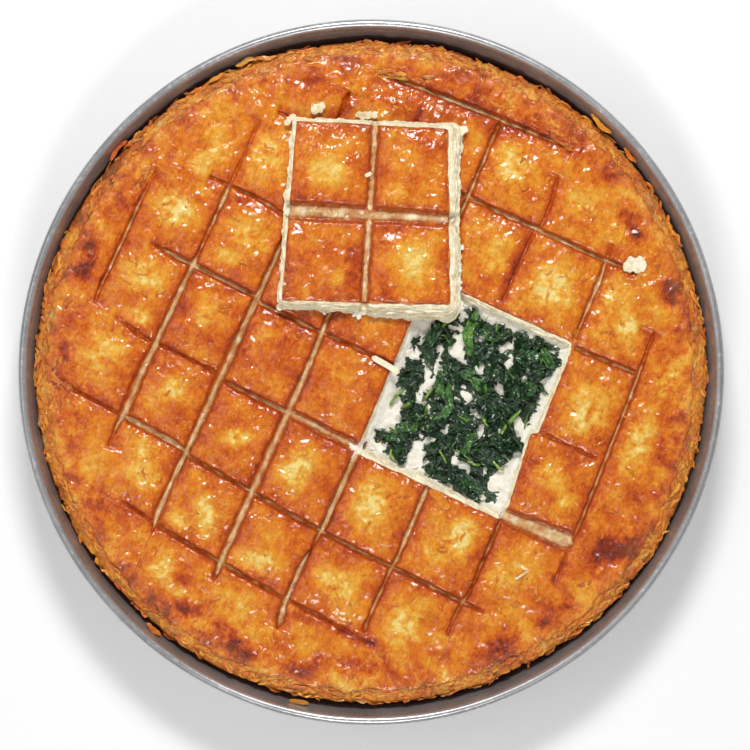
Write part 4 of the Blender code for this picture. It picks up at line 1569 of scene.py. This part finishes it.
def room(cover: Array, spacing: float, most: float) -> Array:
    """Distance of each place of a grid from the nearest one without cover, up to a limit."""
    free = np.where(cover > 0.5, most, 0.0)
    for _ in range(int(most / spacing) + 1):
        for axis in (0, 1):
            for way in (1, -1):
                free = np.minimum(free, np.roll(free, way, axis) + spacing)
    return free


@dataclass
class Opening:
    """What shows where the portion was: torn layers, cheese and spinach."""

    bed_spacing: float = 0.0006  # between the cheese's mesh lines
    leaf_spacing: float = 0.0007  # between those of the spinach's core
    strewn_stalks: int = 17

    def layers(self, finish: bpy.types.Material) -> bpy.types.Object:
        """Makes the pastry's torn layers round the opening."""
        def reach(_: Array, out: Array) -> Array:
            """More along the rows than along the columns."""
            return 0.0050 * out[:, 1] ** 2 + (0.0022 + 0.0006 * out[:, 0]) * out[:, 0] ** 2

        def dip(x: Array, y: Array) -> Array:
            """The crust's own gaps, where they run into the opening."""
            inside, width, _ = knife_gaps(COLUMNS, ROWS, x, y, CRUST_GRAIN)
            return smooth(-0.0004, 0.0008, inside) * np.minimum(0.0050, 0.0012 + width)
        top = CRUST_TOP - UNDER_GLAZE
        stack = LayerStack(OPENING, top, LAYERS_FOOT, -1, reach, dip, sheets=10, hidden=0.0075)
        return stack.build().piece("torn_layers", finish)

    def cheese(self, finish: bpy.types.Material) -> bpy.types.Object:
        """Makes the cheese bed."""
        x, y = over_opening(self.bed_spacing)
        grain = Grain(13)
        lumps = 0.0006 * grain.rough(x, y, 0.0075, 4, 0.6) + 0.00016 * grain.rough(x, y, 0.0016, 2)
        z = CHEESE_LEVEL + 0.0007 + lumps + 0.0004 * (1 - spinach_cover(x, y))
        z += 0.0036 * smooth(0.0085, 0.0005, OPENING.depth(x, y))
        bed = Surface(as_points(x, y, z), [grid_faces(*x.shape)])
        return bed.skirted(0.0030).piece("cheese_bed", finish)

    def curds(self, finish: bpy.types.Material, portion: "LiftedPortion") -> bpy.types.Object:
        """Strews curds of cheese along the opening's wall and under the portion's edges."""
        maker, parts = np.random.default_rng(29), []
        for outline, side, count, turn, (ox, oy), low in (
            (OPENING, -1, 46, 0.0, (0.0, 0.0), LAYERS_FOOT + 0.0004),
            (PORTION_EDGE, 1, 20, portion.turn, portion.place, portion.foot + 0.0012),
        ):
            line, out = outline.path(EDGE_STEP, 5)
            right, front = np.clip(out[:, 0], 0, 1), np.clip(-out[:, 1], 0, 1)
            often = out[:, 1] ** 4 if side < 0 else right**2 + front**2 * 0.5
            c, s = math.cos(math.radians(turn)), math.sin(math.radians(turn))
            for at in maker.choice(len(line), count, p=often / often.sum()):
                x, y = line[at] + side * out[at] * maker.uniform(0.001, 0.0068)
                size = maker.uniform(0.0020, 0.0062)
                wide = size * maker.uniform(0.4, 0.8)
                lump = Leaf(size, wide, 0.0004, 0.0022, 0.0, -0.0004, 0.7, size * 0.16, 6, 9)
                place = (ox + x * c - y * s, oy + x * s + y * c, low + maker.uniform(0.0002, 0.0016))
                parts.append(lump.surface(maker.integers(999), {}).put(place, maker.uniform(0, 360)))
        return joined(parts).piece("cheese_curds", finish)

    def spinach(self, leaf: bpy.types.Material, stalk: bpy.types.Material) -> list[bpy.types.Object]:
        """Makes the spinach's core, leaves and stalks."""
        x, y = over_opening(self.leaf_spacing)
        grain = Grain(17)
        cover = spinach_cover(x, y)
        free = room(cover, self.leaf_spacing, 0.0060)
        lumps = 0.0008 * grain.rough(x, y, 0.008, 4, 0.6)
        z = CHEESE_LEVEL + 0.0014 * cover - 0.0022 * (1 - cover) + lumps * cover
        points = as_points(x, y, z)
        core = Surface(points, [grid_faces(*x.shape)], {"shade": np.full(x.size, 0.1)})
        host = as_points(x, y, z + 0.0004 + 0.0014 * smooth(0.001, 0.005, free))
        maker = np.random.default_rng(23)
        pieces = [core.skirted(0.0012).piece("spinach_core", leaf)]
        for name, long, wide, crumple, crease, need, density, tilt in (
            ("large_leaves", 0.0175, 0.0068, 0.0021, 0.0046, 0.0040, 60000, 0.45),
            ("middle_leaves", 0.0120, 0.0040, 0.0015, 0.0034, 0.0022, 76000, 0.58),
            ("small_leaves", 0.0070, 0.0021, 0.0009, 0.0026, 0.0009, 66000, 0.60),
        ):
            kinds = []
            for kind in range(9):
                sizes = long * maker.uniform(0.75, 1.25), wide * maker.uniform(0.75, 1.25)
                leafy = Leaf(*sizes, crumple, crease, 0.35, 0.0004, 0.3)
                kinds.append(leafy.surface(200 + kind, {"shade": 0.0}))
            often = smooth(need - 0.0003, need + 0.0004, free).ravel()
            spread = Surface(host, core.faces, {"cover": often})
            pieces.append(Scatter(density, 4, 0.65, 1.15, tilt).strewn(name, spread, kinds, leaf))
        parts = []
        for ax, ay, bx, by, radius in in_metres(STALKS):
            sway = maker.normal(0, 0.0012, 2)
            level = SPINACH_LEVEL + 0.0026
            middle = ((ax + bx) / 2 + sway[0], (ay + by) / 2 + sway[1], level + 0.0008)
            path = [(ax, ay, level - 0.0010), middle, (bx, by, level - 0.0012)]
            parts.append(tube(path, radius, 0.35 + 0.6 * maker.random()))
        for _ in range(self.strewn_stalks):
            while True:
                ax, ay = maker.uniform(0.014, 0.092), maker.uniform(-0.036, 0.055)
                turn, long = maker.uniform(0, math.pi), maker.uniform(0.006, 0.015)
                bx, by = ax + long * math.cos(turn), ay + long * math.sin(turn)
                along = np.array([ax, bx, (ax + bx) / 2]), np.array([ay, by, (ay + by) / 2])
                if spinach_cover(*along).min() > 0.6:
                    break
            level = SPINACH_LEVEL + maker.uniform(0.0008, 0.0022)
            sway = maker.normal(0, 0.0015, 2)
            middle = ((ax + bx) / 2 + sway[0], (ay + by) / 2 + sway[1], level + 0.0007)
            path, radius = [(ax, ay, level), middle, (bx, by, level)], maker.uniform(0.0005, 0.0009)
            parts.append(tube(path, radius, maker.random() * 0.45))
        pieces.append(joined(parts).piece("stalks", stalk))
        bright = []
        for number, (*sizes, turn, shade) in enumerate(TOP_LEAVES):
            cx, cy, long, wide = (size / 1000 for size in sizes)
            flat = Leaf(long, wide, 0.0014, 0.0042, 0.45, 0.0006, 0.35, lines=11, across=23)
            place = (cx, cy, SPINACH_LEVEL + 0.0030)
            bright.append(flat.surface(240 + number, {"shade": shade}).put(place, turn))
        pieces.append(joined(bright).piece("top_leaves", leaf))
        return pieces


# ---------------------------------------------------------------- the lifted portion
# The portion's scores and edge are in its own frame; its pale patches are in the pie's.
PORTION_COLUMNS = (
    Score(-0.0429, 0.054),
    Score(0.0002, 0.033, ((-50, -2.0, 1.8), (-10, -2.4, 2.0), (10, -2.2, 2.2), (50, -2.0, 2.2))),
    Score(0.0424, -0.042),
)
PORTION_ROWS = (
    Score(-0.0474, 0.002),
    Score(-0.0004, -0.025, ((-48, -5.0, 5.2), (-20, -4.8, 4.9), (0, -4.3, 4.2), (48, -3.5, 3.4))),
    Score(0.0476, -0.027),
)
PORTION_PALE = (
    (-69, 87, 10, 8, 0, .34), (-30, 90, 10, 6, 0, .16), (-6, 64, 8, 12, 0, .4), (-38, 39, 3, 7, 0, .2),
)
PORTION_EDGE = Outline(((-0.0455, -0.0475), (0.0444, -0.0473), (0.0405, 0.0465), (-0.0403, 0.0487)))


@dataclass
class LiftedPortion(ScoredSheet):
    """Two by two squares of crust, laid askew over the pie."""

    columns: tuple[Score, ...] = PORTION_COLUMNS
    rows: tuple[Score, ...] = PORTION_ROWS
    spacing: float = 0.0007
    gap_depth: float = 0.0036
    place: tuple[float, float] = (-0.0375, 0.0763)
    turn: float = 23.9
    foot: float = 0.0405
    top: float = 0.0500

    def build(self, finish: bpy.types.Material) -> list[bpy.types.Object]:
        """Makes the glazed sheet and the layers under it."""
        self.spread()
        grain = Grain(41)
        c, s = math.cos(math.radians(self.turn)), math.sin(math.radians(self.turn))
        wx = self.place[0] + self.x * c - self.y * s
        wy = self.place[1] + self.x * s + self.y * c
        past = 0.0004 * grain.rough(self.x, self.y, 0.006, 3) - PORTION_EDGE.depth(self.x, self.y)
        level = np.full(self.x.shape, self.top)
        height, tone, pale = self.glazed(wx, wy, grain, level, past)
        tone -= spots(wx, wy, PORTION_PALE)
        points, keep = self.drawn(height, (past,))
        values = crust_values(tone, pale, 0.0)
        sheet = Surface(points, [grid_faces(*self.x.shape)], values).only(keep).skirted(SKIRT_DROP)

        def reach(line: Array, out: Array) -> Array:
            """Most along the right and front sides."""
            x, y = line[:, 0], line[:, 1]
            right = (0.0062 + 0.045 * np.maximum(y, 0)) * np.clip(out[:, 0], 0, 1) ** 2
            front = (0.0070 + 0.07 * x) * np.clip(-out[:, 1], 0, 1) ** 2
            left, back = np.clip(-out[:, 0], 0, 1) ** 2, np.clip(out[:, 1], 0, 1) ** 2
            return right + front + 0.0026 * left + 0.0030 * back

        def dip(x: Array, y: Array) -> Array:
            """The portion's own gaps, where they run out of it."""
            inside, _, _ = knife_gaps(self.columns, self.rows, x, y, grain)
            return smooth(-0.0004, 0.0008, inside) * 0.0062
        top, foot = self.top - UNDER_GLAZE, self.foot + 0.0009
        stack = LayerStack(PORTION_EDGE, top, foot, 1, reach, dip, sheets=12,
                           hidden=0.012, sag=0.0002, seed=61).build()
        line, _ = PORTION_EDGE.path(0.002, 3)
        level, tone = np.full(len(line), self.foot + 0.0002), np.full(len(line), 0.4)
        under = Surface(
            np.column_stack([line, level]), [np.arange(len(line))[None, ::-1]],
            crust_values(tone, np.full(len(line), 0.9), 0.8),
        )
        spot = (*self.place, 0.0)
        return [
            sheet.put(spot, self.turn).piece("portion_sheet", finish),
            joined([stack, under]).put(spot, self.turn).piece("portion_layers", finish),
        ]


# ---------------------------------------------------------------- flakes
# Loose bits of crust in millimetres: x, y, height above the base, length, width, turn, tone, pale.
LOOSE_BITS = (
    (5.3, 7, 41.2, 17, 3.2, -6, .05, 1), (103.5, 113.5, 40.2, 13, 8.5, 30, .05, .95),
    (117, -95, 39.2, 12, 6, 70, .42, .2), (120.5, -64, 40.4, 8.5, 1.2, 60, .1, .8),
    (63, -46, 39.2, 15, 10, -15, .5, .05), (55, 177, 40, 15, 5, -15, .42, 0),
    (77, 169, 38.5, 10, 4.5, -25, .6, 0), (-177, 50, 38.5, 14, 5, 72, .72, 0),
    (42, -180, 38.5, 11, 4.5, 14, .4, .2), (-47, -179, 38.5, 10, 5, -14, .55, .1),
    (14, -37, 34.5, 4.5, 2.4, 80, 1, 0), (21.5, -31.5, 30.8, 4, 2.6, 20, .4, .35),
    (-62, 124, 42.8, 12, 4.2, 20, .1, .9), (-87, 116, 42.4, 8.5, 5.5, 60, .15, .8),
    (-47, 95, 50, 4, 2.2, 40, .05, 1),
    (-14, 138, 44, 11, 5.5, 20, .1, .9), (-57, 12.5, 43, 10, 5, 30, .1, .9),
    (-98, 104, 43, 8, 3.5, 70, .1, .9), (-77, 60, 43, 7, 3.5, 60, .1, .9),
    (-133, 122, 38.6, 12, 4.5, 40, .35, .3), (-144, 108, 38.6, 10, 4, 55, .45, .1),
    (-125, 129, 38, 12, 4, 35, .5, .1),
    (-150, 99, 38, 12, 3.5, 60, .6, 0), (-23, -168, 38.8, 15, 4.5, -3, .45, .3),
    (-64, -157, 38.8, 12, 4, -22, .45, .3), (-2.6, -172, 38.6, 9, 3.5, 5, .45, .35),
    (-98, -118, 38.8, 13, 3.5, -45, .45, .25), (140, -72, 38.8, 12, 3.5, 60, .45, .25),
    (112, 128, 38.8, 12, 3.5, -48, .45, .25), (-118, 110, 39, 14, 3.5, 42, .5, .2),
)


def within_wall(surface: Surface) -> Surface:
    """Presses what would stick through the tin's wall against its inside."""
    radius = np.hypot(surface.points[:, 0], surface.points[:, 1])
    most = wall_radius(surface.points[:, 2]) - 0.0003
    surface.points[:, :2] *= np.minimum(1.0, most / np.maximum(radius, 0.001))[:, None]
    return surface


@dataclass
class Flakes:
    """The dry flakes of the crust's border, the small ones on its glaze, and loose bits."""

    count: int = 1500  # on the border
    reach_in: float = 0.0195  # how far they lie inside the crust's outline
    glaze_radius: float = 0.165
    glaze_density: float = 6000  # per square metre

    def border(self, finish: bpy.types.Material) -> bpy.types.Object:
        """Strews the border."""
        maker, parts = np.random.default_rng(71), []
        while len(parts) < self.count:
            angle, inset = maker.uniform(0, 2 * np.pi), self.reach_in * maker.random() ** 1.3
            if CRUST_GRAIN.rough(angle * ARC, inset, 0.018, 2) < maker.uniform(-0.7, 0.3):
                continue
            radius = pie_radius(angle) - inset
            x, y = radius * math.cos(angle), radius * math.sin(angle)
            flake = Leaf(maker.uniform(0.0035, 0.0095), maker.uniform(0.0009, 0.0026), 0.0003, 0.0025, 0.0,
                         maker.uniform(-0.0004, 0.0002), 0.4, 0.00012, 4, 7)
            tone = 0.54 + maker.uniform(-0.20, 0.2) + 0.5 * float(spots(x, y, BROWN_PATCHES))
            values = {"tone": min(tone, 0.95), "pale": max(0.0, maker.uniform(-1.0, 0.55)), "dry": 0.7}
            level = min(border_height(inset), CRUST_TOP + 0.0004) + maker.uniform(0.0, 0.0003)
            slope = math.degrees(math.atan(600.0 * (border_height(inset + 0.0008) - border_height(inset))))
            bit = flake.surface(maker.integers(900), values).put((0, 0, 0), 0.0, -min(slope, 35.0))
            parts.append(bit.put((x, y, level), math.degrees(angle) + 90 + maker.normal(0, 15)))
        return within_wall(joined(parts)).piece("border_flakes", finish)

    def glaze(self, finish: bpy.types.Material) -> bpy.types.Object:
        """Strews the glazed squares, but not their gaps."""
        side = np.linspace(-self.glaze_radius, self.glaze_radius, 221)
        x, y = np.meshgrid(side, side)
        inside, _, _ = knife_gaps(COLUMNS, ROWS, x, y, CRUST_GRAIN)
        cut = np.maximum(np.maximum(inside, OPENING.depth(x, y)), np.hypot(x, y) - self.glaze_radius)
        z = CRUST_TOP + CROWN * smooth(-0.002, 0.015, -cut)
        cover = smooth(0.0015, 0.0040, -cut) * smooth(0.3, 0.1, spots(x, y, BROWN_PATCHES))
        host = Surface(as_points(x, y, z), [grid_faces(*x.shape)], {"cover": cover.ravel()})
        maker, kinds = np.random.default_rng(72), []
        for kind in range(12):
            sizes = maker.uniform(0.0030, 0.0075), maker.uniform(0.0007, 0.0018)
            flake = Leaf(*sizes, 0.0003, 0.0018, 0.0, 0.0002, 0.6, 0.00008, 4, 6)
            tone, pale = maker.uniform(0.40, 0.60), max(0.0, maker.uniform(-0.6, 0.2))
            kinds.append(flake.surface(600 + kind, {"tone": tone, "pale": pale, "dry": 0.0}))
        return Scatter(self.glaze_density, 8, 0.6, 1.3, 0.08).strewn("glaze_flakes", host, kinds, finish)

    def loose(self, finish: bpy.types.Material) -> bpy.types.Object:
        """Places the loose bits."""
        parts = []
        for number, (*sizes, turn, tone, pale) in enumerate(LOOSE_BITS):
            x, y, z, long, wide = (size / 1000 for size in sizes)
            inwards = min(1.0, (wall_radius(z) - 0.35 * wide) / math.hypot(x, y))
            x, y, straight = x * inwards, y * inwards, long > 4.5 * wide
            browned = pale < 0.5 and not straight
            bit = Leaf(long, wide * (0.62 if browned else 1.0), 0.0003, 0.0055, 0.0, -0.0003,
                       0.04 if straight else 0.30 if browned else 0.34, 0.0003, 9, 17,
                       14.0 if straight else 1.6 if browned else 2.6)
            values = {"tone": tone, "pale": pale, "dry": 0.15}
            parts.append(bit.surface(800 + number, values).put((x, y, z), turn))
        return within_wall(joined(parts)).piece("loose_bits", finish)


# ---------------------------------------------------------------- the studio
@dataclass
class Studio:
    """Floor, light and camera. The camera looks straight down, turned with the pie."""

    turn: float = PIE_TURN
    height: float = 1.5  # of the camera above the rim
    lens: float = 133.96
    aim: tuple[float, float] = (0.0025, -0.0005)

    def lamp(self, name: str, toward: float, lift: float, size: tuple[float, float], power: float) -> None:
        """A soft box that faces the pie.

        Args:
            name: its name.
            toward: its bearing from the camera's upward side, in degrees.
            lift: its height above the horizon, in degrees.
            size: its width and height.
            power: in watts.
        """
        light = bpy.data.lights.new(name, "AREA")
        light.shape, light.size, light.size_y, light.energy = "RECTANGLE", *size, power
        made = bpy.data.objects.new(name, light)
        bearing = self.turn + math.radians(90 - toward)
        rise, distance = math.radians(lift), 1.3
        level = math.cos(rise)
        place = Vector((math.cos(bearing) * level, math.sin(bearing) * level, math.sin(rise))) * distance
        made.location = place + Vector((0, 0, TIN_HEIGHT))
        made.rotation_euler = place.to_track_quat("Z", "Y").to_euler()
        bpy.context.scene.collection.objects.link(made)

    def build(self) -> None:
        """Sets the stage."""
        scene = bpy.context.scene
        floor = Surface(
            np.array([(-3, -3, 0), (3, -3, 0), (3, 3, 0), (-3, 3, 0)], dtype=float) - (0, 0, 0.0002),
            [np.array([[0, 1, 2, 3]])],
        ).piece("floor", PaleFloor().made("pale_floor"))
        self.lamp("key_light", 0.0, 52.0, (0.36, 0.22), 10.6)
        self.lamp("far_light", 180.0, 50.0, (0.36, 0.22), 5.2)
        self.lamp("side_light", -90.0, 60.0, (0.6, 0.6), 1.2)
        world = bpy.data.worlds.new("studio")
        world.use_nodes = True
        world.node_tree.nodes["Background"].inputs["Color"].default_value = (1.0, 1.0, 1.0, 1.0)
        world.node_tree.nodes["Background"].inputs["Strength"].default_value = 0.33
        scene.world = world
        scene.view_settings.view_transform = "Standard"
        data = bpy.data.cameras.new("camera")
        data.lens, data.sensor_width = self.lens, 36.0
        data.clip_start, data.clip_end = 0.05, 20.0
        camera = bpy.data.objects.new("camera", data)
        camera.location = (*self.aim, TIN_HEIGHT + self.height)
        camera.rotation_euler = (0.0, 0.0, self.turn)
        scene.collection.objects.link(camera)
        scene.camera = camera


def ready(piece: bpy.types.Object, slot: str, *nodes: str) -> bpy.types.Object:
    """Gives a finished piece its body and hides the CAD nodes that it stands for."""
    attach(piece, "root")
    if nodes:
        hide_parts(*nodes)
    LOG.info("%s: %d faces", piece.name, len(piece.data.polygons))
    return piece


def dressed(node: bpy.types.Object, finish: bpy.types.Material) -> None:
    """Gives a kept CAD node its finish."""
    for slot in node.material_slots:
        slot.material = finish


def main() -> None:
    """Builds the pie and its stage, logging each piece's face count."""
    logging.basicConfig(level=logging.INFO, format="%(name)s %(message)s")
    Studio().build()
    ready(Tin().build(SpunAluminium().made("tin_metal")), "tin_metal", "tin")
    crust = BakedCrust().made("baked_crust")
    for sheet in ScoredCrust().build(crust):
        ready(sheet, "baked_crust", "top_crust")
    ready(CrustBorder().build(crust), "baked_crust", "top_crust")
    cheese = FreshCheese().made("cheese")
    dressed(frame["nodes"]["cheese_filling"], cheese)
    opening = Opening()
    ready(opening.layers(crust), "baked_crust", "top_crust")
    ready(opening.cheese(cheese), "cheese")
    ready(opening.curds(cheese, LiftedPortion()), "cheese")
    green, stem = WetSpinach(Green.LEAF).made("spinach"), WetSpinach(Green.STALK).made("spinach_stalk")
    for piece in opening.spinach(green, stem):
        ready(piece, "spinach", "spinach_filling")
    for piece in LiftedPortion().build(crust):
        ready(piece, "baked_crust", "lifted_portion")
    flakes = Flakes()
    for piece in (flakes.border(crust), flakes.glaze(crust), flakes.loose(crust)):
        ready(piece, "baked_crust")


if __name__ == "__main__":
    main()
